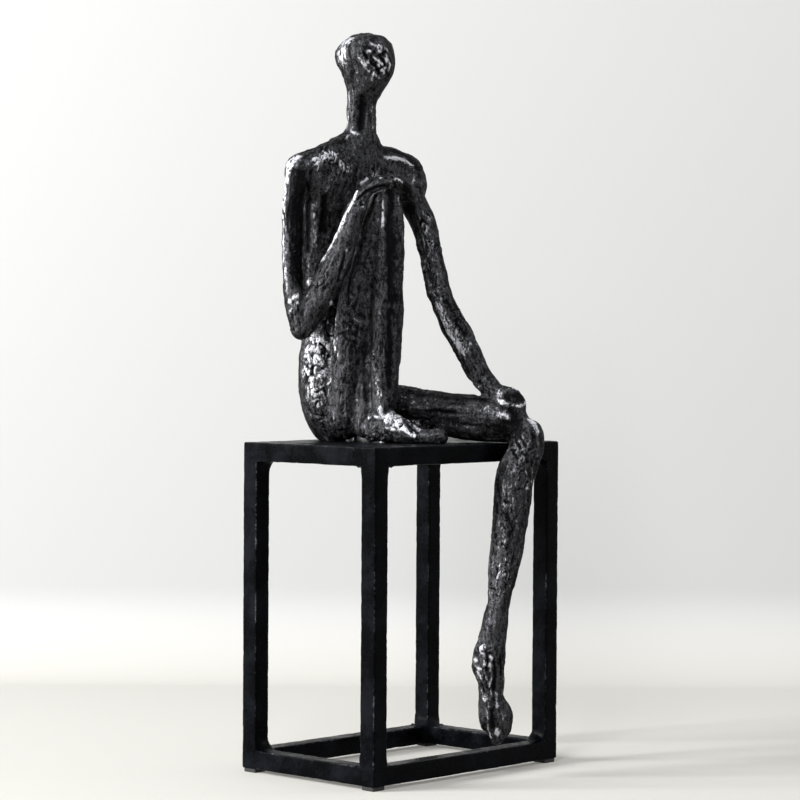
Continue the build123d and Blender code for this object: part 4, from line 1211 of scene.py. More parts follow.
@dataclass
class Figure:
    """The seated figure: fused limbs, cast relief and the division into castings.

    voxel, reaches, the plate's lip and the clearance over the plate are in mm; turns say how
    often the skin or a border is softened, and the share how far each time. The far fields are
    for the sides that the strokes leave out.
    """

    voxel: float = 0.55
    soften_turns: int = 6
    soften_share: float = 0.5
    blend_turns: int = 30
    blend_share: float = 0.6
    blend_span: Span = (0.5, 4.0)
    share_reach: float = 6.0
    share_size: float = 1.4
    least_share: float = 0.02
    far_span: Span = (-0.15, 0.25)
    far_size: Triple = (9.0, 9.0, 14.0)
    far_bright: Span = (0.22, 0.62)
    far_black: Span = (0.15, 0.55)
    far_shine: float = 0.9
    far_rough: float = 0.35
    lift_share: float = 0.8
    rise_height: float = 0.7
    shine_ends: Span = (-1.0, 1.3)
    mean_turns: int = 14
    border_turns: int = 12
    plate_lip: float = -39.8
    clearance: float = 0.02
    box_room: float = 0.5
    relief: Relief = Relief()
    skin: Skin | None = None
    gaps: np.ndarray | None = None
    local: list[np.ndarray] = field(default_factory=list)
    marks: dict[str, np.ndarray] = field(default_factory=dict)

    def fuse(self) -> None:
        """Joins the limbs' skins into one by an even grid of cells of the voxel size."""
        points, faces, start = [], [], 0
        for limb in LIMBS:
            p, f = limb.surface()
            points.append(p)
            faces += [[v + start for v in face] for face in f]
            start += len(p)
        rough = new_object("figure_rough", np.concatenate(points), faces)
        cells = rough.modifiers.new("cells", "REMESH")
        cells.mode = "VOXEL"
        cells.voxel_size = self.voxel * MM
        cells.adaptivity = 0.0
        graph = bpy.context.evaluated_depsgraph_get()
        done = bpy.data.meshes.new_from_object(rough.evaluated_get(graph))
        co = np.zeros(len(done.vertices) * 3)
        done.vertices.foreach_get("co", co)
        corner = np.zeros(len(done.loops), np.int64)
        done.loops.foreach_get("vertex_index", corner)
        if len(corner) != 4 * len(done.polygons):
            raise RuntimeError("the fused skin has faces that aren't four-sided")
        self.skin = Skin(co.reshape(-1, 3), corner.reshape(-1, 4))
        bpy.data.objects.remove(rough)
        bpy.data.meshes.remove(done)
        LOG.info("fused skin: %d points", len(self.skin.points))

    def blend_joints(self) -> None:
        """Softens the skin a little everywhere, and more where two limbs meet."""
        skin = self.skin
        skin.points = skin.soften(skin.points, self.soften_turns, self.soften_share)
        found = [limb.measure(skin.points / MM) for limb in LIMBS]
        self.gaps = np.stack([gap for gap, _ in found])
        self.local = [rows for _, rows in found]
        second = np.sort(self.gaps, axis=0)[1]
        meeting = 1.0 - smooth_step(*self.blend_span, second)
        skin.points = skin.soften(skin.points, self.blend_turns, self.blend_share * meeting)

    def limb_relief(self) -> np.ndarray:
        """Each limb's own relief, blended where limbs meet.

        Formula: a limb's share falls as e to the minus way by which it is further than the
        nearest limb, and the shares are made to add up to one.

        Returns:
            Rows of streaks, bark and crevices.
        """
        lead = self.gaps - self.gaps.min(axis=0)
        share = np.where(lead < self.share_reach, np.exp(-lead / self.share_size), 0.0)
        share /= share.sum(axis=0)
        total = np.zeros((3, len(self.skin.points)))
        for number, rows in enumerate(self.local):
            mine = share[number] > self.least_share
            if mine.any():
                local = self.relief.local(rows[mine], 100 * number + 7)
                total[:, mine] += share[number][mine] * local
        return total

    def worked(self, mm: np.ndarray, normal: np.ndarray) -> tuple[np.ndarray, ...]:
        """What the strokes do, and seeded places of the same kind on the other sides.

        Formula: the strokes' bells are summed, each times its height, painted light and rough; the
        painted light is a painted highlight above zero and painted shade below, with partly real
        rubbing. Where the skin faces away from the strokes' side, the crests and hollows of a slow
        noise are rubbed and blackened instead.

        Args:
            mm: places of the skin in mm.
            normal: its outward directions.

        Returns:
            Lift in mm, painted highlight and shade with rubbing, and rough at each place.
        """
        lift, painted_light_and_rub, rough = np.zeros((3, len(mm)))
        for stroke in STROKES:
            near, bell = stroke.bell(mm)
            lift[near] += stroke.height * bell
            painted_light_and_rub[near] += stroke.painted_light_and_rub * bell
            # painted highlight and painted shade of the strokes, with partly real rubbing
            rough[near] += stroke.rough * bell
        elsewhere = 1.0 - smooth_step(*self.far_span, normal @ VIEW_BACK)
        places = Grain(59).layers(mm / np.array(self.far_size), 2)
        bright, black = smooth_step(*self.far_bright, places), smooth_step(*self.far_black, -places)
        painted_light_and_rub += elsewhere * (self.far_shine * bright - self.far_shine * black)
        rough += elsewhere * self.far_rough
        return lift, painted_light_and_rub, rough

    def sculpt(self) -> None:
        """Lifts the skin by the strokes and by the cast relief along its own normals.

        Formula: the rise mark is the relief's height over its own local mean, so that one half
        is level with it.
        """
        skin = self.skin
        mm = skin.points / MM
        normal = skin.normals()
        lift, painted_light_and_rub, rough = self.worked(mm, normal)
        skin.points = skin.points + normal * (lift * MM)[:, None]
        height, patch, crevice = self.relief.height(mm, self.limb_relief(), rough)
        skin.points = skin.points + normal * (height * MM)[:, None]
        relief = height + self.lift_share * lift
        mean = skin.soften(relief[:, None], self.mean_turns, self.blend_share)[:, 0]
        self.marks = {
            "rise": np.clip(0.5 + (relief - mean) / self.rise_height, 0.0, 1.0),
            "crevice": crevice,
            "patch": patch,
            # painted highlight (above zero) and painted shade (below zero), with partly real
            # rubbing
            "painted_light_and_rub": np.clip(painted_light_and_rub, *self.shine_ends),
        }

    def stay_in_box(self) -> None:
        """Keeps the skin above the plate and inside the whole object's box.

        Formula: beyond a soft start inside a limit, the way past the start is bent by t over
        one plus t, so it never reaches the limit.
        """
        p = self.skin.points
        low = (POSE.seat_z + self.clearance) * MM
        over_plate = (p[:, 1] > self.plate_lip * MM) & (p[:, 2] > low - 4.0 * MM)
        p[:, 2] = np.where(over_plate, np.maximum(p[:, 2], low), p[:, 2])
        lowest, highest = (np.array(corner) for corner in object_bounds())
        room = self.box_room * MM
        for axis in range(3):
            top, bottom = highest[axis] - room, lowest[axis] + room
            over = np.maximum(p[:, axis] - top, 0.0) / room
            under = np.maximum(bottom - p[:, axis], 0.0) / room
            p[:, axis] = np.where(over > 0, top + room * over / (1.0 + over), p[:, axis])
            p[:, axis] = np.where(under > 0, bottom - room * under / (1.0 + under), p[:, axis])

    def divide(self, materials: Materials) -> list[bpy.types.Object]:
        """Cuts the skin into the six castings where the next casting's limbs are nearer.

        Every rim is closed by a fan to its middle, inside the joint.

        Args:
            materials: finishes by the names of their slots.

        Returns:
            The castings' objects.
        """
        skin = self.skin
        kinds = list(Casting)
        own = [[limb.casting is kind for limb in LIMBS] for kind in kinds]
        near = np.stack([self.gaps[rows].min(axis=0) for rows in own], axis=1)
        near = skin.soften(near, self.border_turns, self.blend_share)
        owner = near[skin.quads].mean(axis=1).argmin(axis=1)
        normal = skin.normals()
        made = []
        for number, kind in enumerate(kinds):
            used, local = np.unique(skin.quads[owner == number], return_inverse=True)
            quads = local.reshape(-1, 4)
            caps, middles = close_rims(skin.points[used], quads)
            points = np.concatenate([skin.points[used], middles])
            rows = np.concatenate([normal[used], np.tile(UP, (len(middles), 1))])
            piece = new_object(f"cast_{kind.value}", points, quads.tolist() + caps.tolist())
            mesh = piece.data
            mesh.normals_split_custom_set_from_vertices(rows.tolist())
            for name, values in self.marks.items():
                put_attribute(mesh, name, np.concatenate([values[used], np.zeros(len(middles))]))
            mesh.materials.append(materials["casting"])
            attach(piece, "root")
            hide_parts(kind.value)
            made.append(piece)
        return made

    def build(self, materials: Materials) -> list[bpy.types.Object]:
        """Runs the steps in order.

        Args:
            materials: finishes by the names of their slots.

        Returns:
            The castings' objects.
        """
        self.fuse()
        self.blend_joints()
        self.sculpt()
        self.stay_in_box()
        return self.divide(materials)


def close_rims(points: np.ndarray, quads: np.ndarray) -> tuple[np.ndarray, np.ndarray]:
    """Fans that close a cut skin.

    Formula: an edge with one face is on a rim; rims are told apart by passing the lowest vertex
    number along them; each gets its mean point, and a triangle from every edge to that point.

    Args:
        points: the skin's points.
        quads: its faces.

    Returns:
        The triangles, and the new middle points that follow the skin's own.
    """
    way = np.concatenate([quads[:, [k, (k + 1) % 4]] for k in range(4)])
    key = np.sort(way, axis=1)
    code = key[:, 0] * len(points) + key[:, 1]
    _, first, count = np.unique(code, return_index=True, return_counts=True)
    rim = way[first[count == 1]]
    if not len(rim):
        return np.zeros((0, 3), int), np.zeros((0, 3))
    label = np.arange(len(points))
    while True:
        low = np.minimum(label[rim[:, 0]], label[rim[:, 1]])
        after = label.copy()
        np.minimum.at(after, rim[:, 0], low)
        np.minimum.at(after, rim[:, 1], low)
        after = after[after]
        if (after == label).all():
            break
        label = after
    _, number = np.unique(label[rim[:, 0]], return_inverse=True)
    start = points[rim[:, 0]]
    sums = np.stack([np.bincount(number, column) for column in start.T], axis=1)
    middles = sums / np.bincount(number)[:, None]
    caps = np.stack([rim[:, 1], rim[:, 0], len(points) + number], axis=1)
    return caps, middles


# ---- finishes


@dataclass(frozen=True)
class CastFinish:
    """Dark patina over cast metal, rubbed back to silver on the high spots, with painted highlights
    and painted shade.

    A span says from where to where a tone brings its colour in. cloud, bark, speck and the two
    shines are shares that the film and the painted highlight and shade, with partly real
    rubbing, add to the tone and to the silver. scale, grain and stretch go to the uneven film;
    distance in metres and strength go to the bump.
    """

    # patina black of crevices and pits, and also the colour of painted shade
    patina_black_and_shade: Triple = (0.0035, 0.0034, 0.0038)
    body: Triple = (0.056, 0.056, 0.060)
    # lighter metal, brought in partly by wear and partly by painted highlight
    worn: Triple = (0.15, 0.15, 0.16)
    # silver of rubbed high spots, and also the colour of painted highlights
    rubbed_and_highlight: Triple = (0.56, 0.56, 0.59)
    sheen: Triple = (0.10, 0.10, 0.11)
    body_span: Span = (0.10, 0.80)
    worn_span: Span = (0.70, 1.15)
    rub_span: Span = (0.90, 1.55)
    hollow_span: Span = (0.25, 0.75)
    hollow_cloud: float = 0.3
    hollow_most: float = 0.9
    pit_span: Span = (-0.13, -0.045)
    pit_bark: float = 0.5
    pit_most: float = 0.85
    cloud: float = 0.9
    bark: float = 1.2
    speck: float = 0.8
    shine_tone: float = 0.45
    shine_rub: float = 0.75
    metal: Span = (0.75, 1.0)
    rough: Span = (0.31, 0.56)
    rough_span: Span = (0.3, 0.75)
    rough_patch: float = 0.10
    rough_rub: float = 0.16
    scale: float = 130.0
    grain: float = 1100.0
    stretch: float = 0.45
    distance: float = 0.0013
    strength: float = 0.80


@dataclass(frozen=True)
class PaintFinish:
    """Blue-black painted steel with a mottled film and worn edges.

    dust and drift are how much of the film's speck and cloud goes into the wear, and the shares
    how much of the dust goes into haze and gloss.
    """

    body: Triple = (0.0009, 0.0011, 0.0018)
    haze: Triple = (0.0066, 0.0074, 0.0100)
    worn: Triple = (0.14, 0.145, 0.155)
    dust: float = 1.3
    drift: float = 1.5
    haze_span: Span = (0.42, 0.74)
    haze_share: float = 0.25
    wear_span: Span = (0.98, 1.60)
    wear_most: float = 0.85
    metal: float = 0.8
    rough: Span = (0.22, 0.50)
    rough_span: Span = (0.3, 0.7)
    rough_share: float = 0.5
    specular: float = 0.03
    scale: float = 60.0
    grain: float = 700.0
    stretch: float = 1.0
    distance: float = 0.0006
    strength: float = 0.4


@dataclass(frozen=True)
class PlainFinish:
    """One uneven colour, for the pads and the fixings."""

    name: str
    colour: Triple
    rough: float
    metal: float
    scale: float = 90.0
    grain: float = 900.0
    stretch: float = 0.4
    distance: float = 0.0003
    strength: float = 0.3


class Nodes:
    """Small helper that adds nodes to one tree and joins them."""

    def __init__(self, tree: bpy.types.NodeTree) -> None:
        """Keeps the tree, emptied."""
        self.tree = tree
        tree.nodes.clear()

    def add(self, kind: str, **settings: object) -> bpy.types.Node:
        """Adds a node.

        Args:
            kind: the node's type.
            settings: values of its properties by name.

        Returns:
            The node.
        """
        node = self.tree.nodes.new(kind)
        for name, value in settings.items():
            setattr(node, name, value)
        return node

    def join(self, source: bpy.types.NodeSocket, target: bpy.types.NodeSocket) -> None:
        """Links one socket to another."""
        self.tree.links.new(source, target)

    def put(self, node: bpy.types.Node, socket: int | str, value: object) -> None:
        """Links a socket into an input, or sets the input.

        Args:
            node: the node whose input it is.
            socket: the input's number or name.
            value: another node's output, a number, or a colour of three numbers.
        """
        if isinstance(value, bpy.types.NodeSocket):
            self.join(value, node.inputs[socket])
        else:
            value = (*value, 1.0) if isinstance(value, tuple) else value
            node.inputs[socket].default_value = value

    def math(self, operation: str, a: object, b: object) -> bpy.types.NodeSocket:
        """One Math node.

        Args:
            operation: what the node does.
            a: first value, a socket or a number.
            b: second value.

        Returns:
            The result's socket.
        """
        node = self.add("ShaderNodeMath", operation=operation)
        self.put(node, 0, a)
        self.put(node, 1, b)
        return node.outputs[0]

    def plus(self, a: object, b: object, share: float) -> bpy.types.NodeSocket:
        """The first value plus a share of the second."""
        return self.math("ADD", a, self.math("MULTIPLY", b, share))

    def blend(self, share: object, a: object, b: object) -> bpy.types.NodeSocket:
        """Mixes two colours.

        Args:
            share: how much of the second colour there is, a socket or a number.
            a: first colour, a socket or three numbers.
            b: second colour.

        Returns:
            The mixed colour's socket.
        """
        node = self.add("ShaderNodeMix", data_type="RGBA", clamp_factor=True)
        self.put(node, "Factor", share)
        self.put(node, 6, a)
        self.put(node, 7, b)
        return node.outputs[2]

    def span(self, value: object, source: Span, target: Span = (0.0, 1.0)) -> bpy.types.NodeSocket:
        """Maps a value from one span to another, smoothly and held at the ends.

        Args:
            value: a socket or a number.
            source: the span that the value runs through.
            target: the span that it is brought to.

        Returns:
            The mapped value's socket.
        """
        node = self.add("ShaderNodeMapRange", interpolation_type="SMOOTHSTEP")
        self.put(node, 0, value)
        for socket, number in enumerate((*source, *target), start=1):
            self.put(node, socket, number)
        return node.outputs[0]

    def seen_ray(self) -> bpy.types.NodeSocket:
        """One for camera, glossy and transmission rays, so that metal shows the backdrop too."""
        path = self.add("ShaderNodeLightPath")
        direct = self.math("MAXIMUM", path.outputs["Is Camera Ray"], path.outputs["Is Glossy Ray"])
        return self.math("MAXIMUM", direct, path.outputs["Is Transmission Ray"])


def film_group() -> bpy.types.NodeTree:
    """Node group of uneven film and fine grain, shared by every finish.

    Returns:
        A group with inputs Scale, Grain and Stretch, and outputs Cloud, Speck, Bark and Height.
        Stretch is the share of the height that counts, so that below one the bark runs upright.
    """
    tree = bpy.data.node_groups.new("uneven_film", "ShaderNodeTree")
    nodes = Nodes(tree)
    for name in ("Scale", "Grain", "Stretch"):
        tree.interface.new_socket(name, in_out="INPUT", socket_type="NodeSocketFloat")
    for name in ("Cloud", "Speck", "Bark", "Height"):
        tree.interface.new_socket(name, in_out="OUTPUT", socket_type="NodeSocketFloat")
    entry = nodes.add("NodeGroupInput")
    leave = nodes.add("NodeGroupOutput")
    where = nodes.add("ShaderNodeTexCoord").outputs["Object"]
    squeeze = nodes.add("ShaderNodeCombineXYZ")
    for socket, value in enumerate((1.0, 1.0, entry.outputs["Stretch"])):
        nodes.put(squeeze, socket, value)
    upright = nodes.add("ShaderNodeVectorMath", operation="MULTIPLY")
    nodes.join(where, upright.inputs[0])
    nodes.join(squeeze.outputs[0], upright.inputs[1])
    bark_scale = nodes.math("MULTIPLY", entry.outputs["Grain"], 0.5)
    made = {}
    for name, vector, scale, detail, bent in (
        ("Cloud", where, entry.outputs["Scale"], 5.0, 0.0),
        ("Speck", where, entry.outputs["Grain"], 3.0, 0.0),
        ("Bark", upright.outputs[0], bark_scale, 4.0, 0.6),
    ):
        node = nodes.add("ShaderNodeTexNoise")
        for socket, value in (
            ("Vector", vector),
            ("Scale", scale),
            ("Detail", detail),
            ("Roughness", 0.62),
            ("Distortion", bent),
        ):
            nodes.put(node, socket, value)
        made[name] = node.outputs[0]
        nodes.join(made[name], leave.inputs[name])
    grain = nodes.plus(nodes.math("MULTIPLY", made["Bark"], 0.7), made["Speck"], 0.3)
    nodes.join(grain, leave.inputs["Height"])
    return tree


def new_material(name: str) -> tuple[bpy.types.Material, Nodes, bpy.types.Node]:
    """Material with nothing but its shader and its output.

    Args:
        name: the material's name.

    Returns:
        The material, its nodes and its shader.
    """
    material = bpy.data.materials.new(name)
    material.use_nodes = True
    nodes = Nodes(material.node_tree)
    shader = nodes.add("ShaderNodeBsdfPrincipled")
    out = nodes.add("ShaderNodeOutputMaterial")
    nodes.join(shader.outputs[0], out.inputs[0])
    return material, nodes, shader


def lay_film(
    nodes: Nodes,
    shader: bpy.types.Node,
    film: bpy.types.NodeTree,
    finish: CastFinish | PaintFinish | PlainFinish,
) -> bpy.types.Node:
    """Places the uneven film in a material and bumps the surface by its height.

    Args:
        nodes: the material's nodes.
        shader: its shader.
        film: the film's node group.
        finish: gives the film's sizes, and the bump's distance and strength.

    Returns:
        The group's node.
    """
    uneven = nodes.add("ShaderNodeGroup", node_tree=film)
    bump = nodes.add("ShaderNodeBump")
    for node, name, value in (
        (uneven, "Scale", finish.scale),
        (uneven, "Grain", finish.grain),
        (uneven, "Stretch", finish.stretch),
        (bump, "Distance", finish.distance),
        (bump, "Strength", finish.strength),
        (bump, "Height", uneven.outputs["Height"]),
        (shader, "Normal", bump.outputs[0]),
    ):
        nodes.put(node, name, value)
    return uneven


def cast_material(finish: CastFinish, film: bpy.types.NodeTree) -> bpy.types.Material:
    """Cast metal: black in the crevices, dark on the body, silver where it was rubbed; the strokes
    add painted highlights and painted shade.

    Formula: the level is the relief's rise plus shares of the film's cloud, bark and speck;
    the strokes' painted highlight and painted shade, with partly real rubbing, add to it. Body,
    worn and rubbed colours come in over their spans of the level, and crevices and pits go back
    to the deep colour.

    Args:
        finish: colours and spans.
        film: the uneven film's node group.

    Returns:
        The material.
    """
    material, nodes, shader = new_material("cast_metal_patina")
    rise, painted_light_and_rub, patch, crevice = (
        nodes.add("ShaderNodeAttribute", attribute_name=name).outputs["Fac"]
        for name in ("rise", "painted_light_and_rub", "patch", "crevice")
    )
    uneven = lay_film(nodes, shader, film, finish)
    cloud, speck, bark = (
        nodes.math("SUBTRACT", uneven.outputs[name], 0.5) for name in ("Cloud", "Speck", "Bark")
    )
    level = nodes.plus(nodes.plus(rise, cloud, finish.cloud), bark, finish.bark)
    level = nodes.plus(level, speck, finish.speck)
    # the tone takes in painted light: painted shade brings in the deep colour, painted highlight
    # the worn one
    tone_and_painted_light = nodes.plus(level, painted_light_and_rub, finish.shine_tone)
    base = nodes.blend(nodes.span(tone_and_painted_light, finish.body_span), finish.patina_black_and_shade, finish.body)
    base = nodes.blend(nodes.span(tone_and_painted_light, finish.worn_span), base, finish.worn)
    # silver comes from rubbed high spots and from painted highlights
    bright = nodes.plus(nodes.plus(level, painted_light_and_rub, finish.shine_rub), bark, finish.bark)
    rub_and_highlight = nodes.span(bright, finish.rub_span)
    colour = nodes.blend(rub_and_highlight, base, finish.rubbed_and_highlight)
    hollow = nodes.plus(crevice, cloud, finish.hollow_cloud)
    hollow = nodes.span(hollow, finish.hollow_span, (0.0, finish.hollow_most))
    pits = nodes.plus(speck, bark, finish.pit_bark)
    pits = nodes.span(pits, finish.pit_span, (finish.pit_most, 0.0))
    black = nodes.math("MAXIMUM", hollow, pits)
    rough = nodes.plus(uneven.outputs["Cloud"], patch, finish.rough_patch)
    rough = nodes.span(rough, finish.rough_span, finish.rough)
    nodes.put(shader, "Base Color", nodes.blend(black, colour, finish.patina_black_and_shade))
    nodes.put(shader, "Roughness", nodes.plus(rough, rub_and_highlight, finish.rough_rub))
    nodes.put(shader, "Metallic", nodes.span(rub_and_highlight, (0.0, 1.0), finish.metal))
    nodes.put(shader, "Specular Tint", finish.sheen)
    return material


def paint_material(finish: PaintFinish, film: bpy.types.NodeTree) -> bpy.types.Material:
    """Painted steel: a cloudy blue-black film, rubbed to grey metal along the edges.

    Formula: the edge mark plus dust and drift of the film gives the wear, which brings in the
    worn colour and the metal; the cloud alone gives the haze and the gloss.

    Args:
        finish: colours and spans.
        film: the uneven film's node group.

    Returns:
        The material.
    """
    material, nodes, shader = new_material("stand_paint")
    edge = nodes.add("ShaderNodeAttribute", attribute_name="edge").outputs["Fac"]
    uneven = lay_film(nodes, shader, film, finish)
    cloud = uneven.outputs["Cloud"]
    dust = nodes.math("SUBTRACT", uneven.outputs["Speck"], 0.5)
    dust = nodes.math("MULTIPLY", dust, finish.dust)
    drift = nodes.math("MULTIPLY", nodes.math("SUBTRACT", cloud, 0.5), finish.drift)
    haze = nodes.span(nodes.plus(cloud, dust, finish.haze_share), finish.haze_span)
    fray = nodes.math("ADD", nodes.math("ADD", edge, dust), drift)
    wear = nodes.span(fray, finish.wear_span, (0.0, finish.wear_most))
    base = nodes.blend(haze, finish.body, finish.haze)
    rough = nodes.plus(cloud, dust, finish.rough_share)
    rough = nodes.span(rough, finish.rough_span, finish.rough)
    nodes.put(shader, "Base Color", nodes.blend(wear, base, finish.worn))
    nodes.put(shader, "Roughness", rough)
    nodes.put(shader, "Specular IOR Level", finish.specular)
    nodes.put(shader, "Metallic", nodes.math("MULTIPLY", wear, finish.metal))
    return material


def plain_material(finish: PlainFinish, film: bpy.types.NodeTree) -> bpy.types.Material:
    """Simple uneven finish: the colour and a lighter one, mixed by the film's cloud.

    Args:
        finish: name, colour, roughness and metal.
        film: the uneven film's node group.

    Returns:
        The material.
    """
    material, nodes, shader = new_material(finish.name)
    uneven = lay_film(nodes, shader, film, finish)
    lighter = tuple(min(1.0, c * 1.6 + 0.01) for c in finish.colour)
    share = nodes.span(uneven.outputs["Cloud"], (0.35, 0.7))
    rough = (finish.rough - 0.06, finish.rough + 0.08)
    nodes.put(shader, "Base Color", nodes.blend(share, finish.colour, lighter))
    nodes.put(shader, "Roughness", nodes.span(uneven.outputs["Speck"], (0.3, 0.7), rough))
    nodes.put(shader, "Metallic", finish.metal)
    return material


# ---- the stand


CORNERS = ("front_left", "front_right", "rear_left", "rear_right")
SIDES = ("front", "rear", "left", "right")
BARS = (
    *(f"post_{corner}" for corner in CORNERS),
    *(f"top_rail_{side}" for side in SIDES),
    *(f"bottom_rail_{side}" for side in SIDES),
)


@dataclass(frozen=True)
class WeldedFrame:
    """Open box of square bar, welded and painted as one skin. Lengths in mm.

    near: grid lines across the bar, for a bar 10 mm wide. step: way between grid lines along
    it. edge: radius of the bar's edges. weld: size of the welds. wave and nicks: how far
    handwork sinks the faces and the edges.
    """

    bar: float = 10.0
    near: tuple[float, ...] = (0.0, 0.3, 0.9, 2.6, 5.0, 7.4, 9.1, 9.7, 10.0)
    step: float = 2.2
    edge: float = 0.9
    weld: float = 5.0
    wave: float = 0.30
    nicks: float = 0.30
    turns: int = 5
    tip: float = 0.05

    def box(self) -> tuple[np.ndarray, np.ndarray]:
        """Lowest and highest corners of all the bars together, in mm."""
        corners = np.array([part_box(name) for name in BARS])
        return corners[:, 0].min(axis=0) / MM, corners[:, 1].max(axis=0) / MM

    def shell(self, low: np.ndarray, high: np.ndarray) -> Skin:
        """Outside of the cells that the bars fill, as four-sided faces.

        Formula: grid lines stand close together near the bars' edges; a cell is filled where it
        lies in the bar's zone along at least two of the three axes; a face is kept wherever a
        filled cell meets an empty one.

        Args:
            low: lowest corner of the bars, in mm.
            high: highest corner.

        Returns:
            The shell's skin, in mm.
        """
        near = np.array(self.near) / 10.0 * self.bar
        lines, zones = [], []
        for start, end in zip(low, high):
            count = int((end - start - 2.0 * self.bar) / self.step)
            middle = np.linspace(start + self.bar, end - self.bar, count + 1)[1:-1]
            line = np.concatenate([start + near, middle, end - near[::-1]])
            centre = (line[1:] + line[:-1]) / 2.0
            lines.append(line)
            zones.append((centre < start + self.bar) | (centre > end - self.bar))
        zx, zy, zz = np.meshgrid(*zones, indexing="ij")
        padded = np.pad((zx.astype(int) + zy + zz) >= 2, 1).astype(int)
        shape = tuple(len(line) for line in lines)
        corners = ((0, 0), (0, 1), (1, 1), (1, 0))
        quads = []
        for axis in range(3):
            keep = tuple(slice(None) if k == axis else slice(1, -1) for k in range(3))
            change = np.diff(padded, axis=axis)[keep]
            aside = np.eye(3, dtype=int)[[(axis + 1) % 3, (axis + 2) % 3]]
            for sign, ring in ((1, corners), (-1, corners[:1] + corners[:0:-1])):
                cells = np.argwhere(change == sign)
                around = [cells + np.array(corner) @ aside for corner in ring]
                quads.append(np.stack([np.ravel_multi_index(c.T, shape) for c in around], axis=1))
        used, local = np.unique(np.concatenate(quads), return_inverse=True)
        places = np.unravel_index(used, shape)
        points = np.stack([line[place] for line, place in zip(lines, places)], axis=1)
        return Skin(points, local.reshape(-1, 4))

    def families(
        self, p: np.ndarray, low: np.ndarray, high: np.ndarray
    ) -> tuple[np.ndarray, np.ndarray]:
        """Distances to the bars that run along x, y and z, and how near each one's edges are.

        Args:
            p: places in mm.
            low: lowest corner of the bars.
            high: highest corner.

        Returns:
            Three rows of distances to bars with rounded edges, and three rows of edge marks.
        """
        half = self.bar / 2.0
        off = np.abs(p - (low + high) / 2.0) - ((high - low) / 2.0 - half)
        gaps, edges = [], []
        for a, b in ((1, 2), (0, 2), (0, 1)):
            x = np.abs(off[:, a]) - half + self.edge
            y = np.abs(off[:, b]) - half + self.edge
            outside = np.hypot(np.maximum(x, 0.0), np.maximum(y, 0.0))
            gaps.append(outside + np.minimum(np.maximum(x, y), 0.0) - self.edge)
            edges.append(smooth_step(-1.4, 0.7, np.minimum(x, y)))
        return np.stack(gaps), np.stack(edges)

    def distance(
        self, p: np.ndarray, low: np.ndarray, high: np.ndarray, weld: np.ndarray
    ) -> np.ndarray:
        """Signed distance to the welded frame.

        Formula: the bars' distances are joined by the smooth least, a less h squared times the
        weld's size over four where h is how far the two distances are within that size, then
        cut by the rounded outer box.

        Args:
            p: places in mm.
            low: lowest corner of the bars.
            high: highest corner.
            weld: the weld's size at each place.

        Returns:
            Distances in mm, below zero inside.
        """
        gaps, _ = self.families(p, low, high)
        total = gaps[0]
        for gap in gaps[1:]:
            h = np.maximum(weld - np.abs(total - gap), 0.0) / weld
            total = np.minimum(total, gap) - h * h * weld / 4.0
        q = np.abs(p - (low + high) / 2.0) - (high - low) / 2.0 + self.edge
        corner = np.linalg.norm(np.maximum(q, 0.0), axis=1)
        return np.maximum(total, corner + np.minimum(q.max(axis=1), 0.0) - self.edge)

    def draw(
        self, p: np.ndarray, low: np.ndarray, high: np.ndarray
    ) -> tuple[np.ndarray, np.ndarray]:
        """Draws a shell's points onto the rounded, welded form.

        Formula: each point goes against the distance's slope by the distance, a few times over.
        The welds' size follows a noise.

        Args:
            p: the shell's points in mm.
            low: lowest corner of the bars.
            high: highest corner.

        Returns:
            The drawn points, and how near a bar's edge each one lies.
        """
        weld = self.weld * (1.0 + 0.45 * Grain(211).noise(p / 6.0))
        for _ in range(self.turns):
            gap = self.distance(p, low, high, weld)
            ahead = [self.distance(p + self.tip * a, low, high, weld) for a in np.eye(3)]
            behind = [self.distance(p - self.tip * a, low, high, weld) for a in np.eye(3)]
            slope = (np.stack(ahead, axis=1) - np.stack(behind, axis=1)) / (2.0 * self.tip)
            size = np.maximum((slope**2).sum(axis=1), 0.2)
            p = p - slope * (np.clip(gap, -1.5, 1.5) / size)[:, None]
        gaps, edges = self.families(p, low, high)
        edge = np.where(gaps < 0.35, edges, 1.0).min(axis=0)
        return p, np.where(gaps.min(axis=0) < 0.35, edge, 0.0)

    def build(self, materials: Materials) -> bpy.types.Object:
        """Makes the frame's one piece and gives it the marks of handwork.

        Formula: the skin sinks by a slow wave and, near an edge, by a quick one.

        Args:
            materials: finishes by the names of their slots.

        Returns:
            The frame's object.
        """
        low, high = self.box()
        skin = self.shell(low, high)
        p, edge = self.draw(skin.points, low, high)
        skin.points = p * MM
        slow = Grain(101).layers(p / 24.0, 2)
        quick = Grain(131).layers(p / 4.5, 2)
        sink = self.wave * np.maximum(0.15 + 0.5 * slow, 0.0)
        sink = sink + self.nicks * edge * np.maximum(quick, 0.0)
        skin.points = skin.points - skin.normals() * (sink * MM)[:, None]
        piece = new_object("welded_frame", skin.points, skin.quads.tolist())
        piece.data.normals_split_custom_set_from_vertices(skin.normals().tolist())
        put_attribute(piece.data, "edge", edge)
        piece.data.materials.append(materials["stand"])
        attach(piece, "root")
        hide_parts(*BARS, "weld_beads")
        return piece


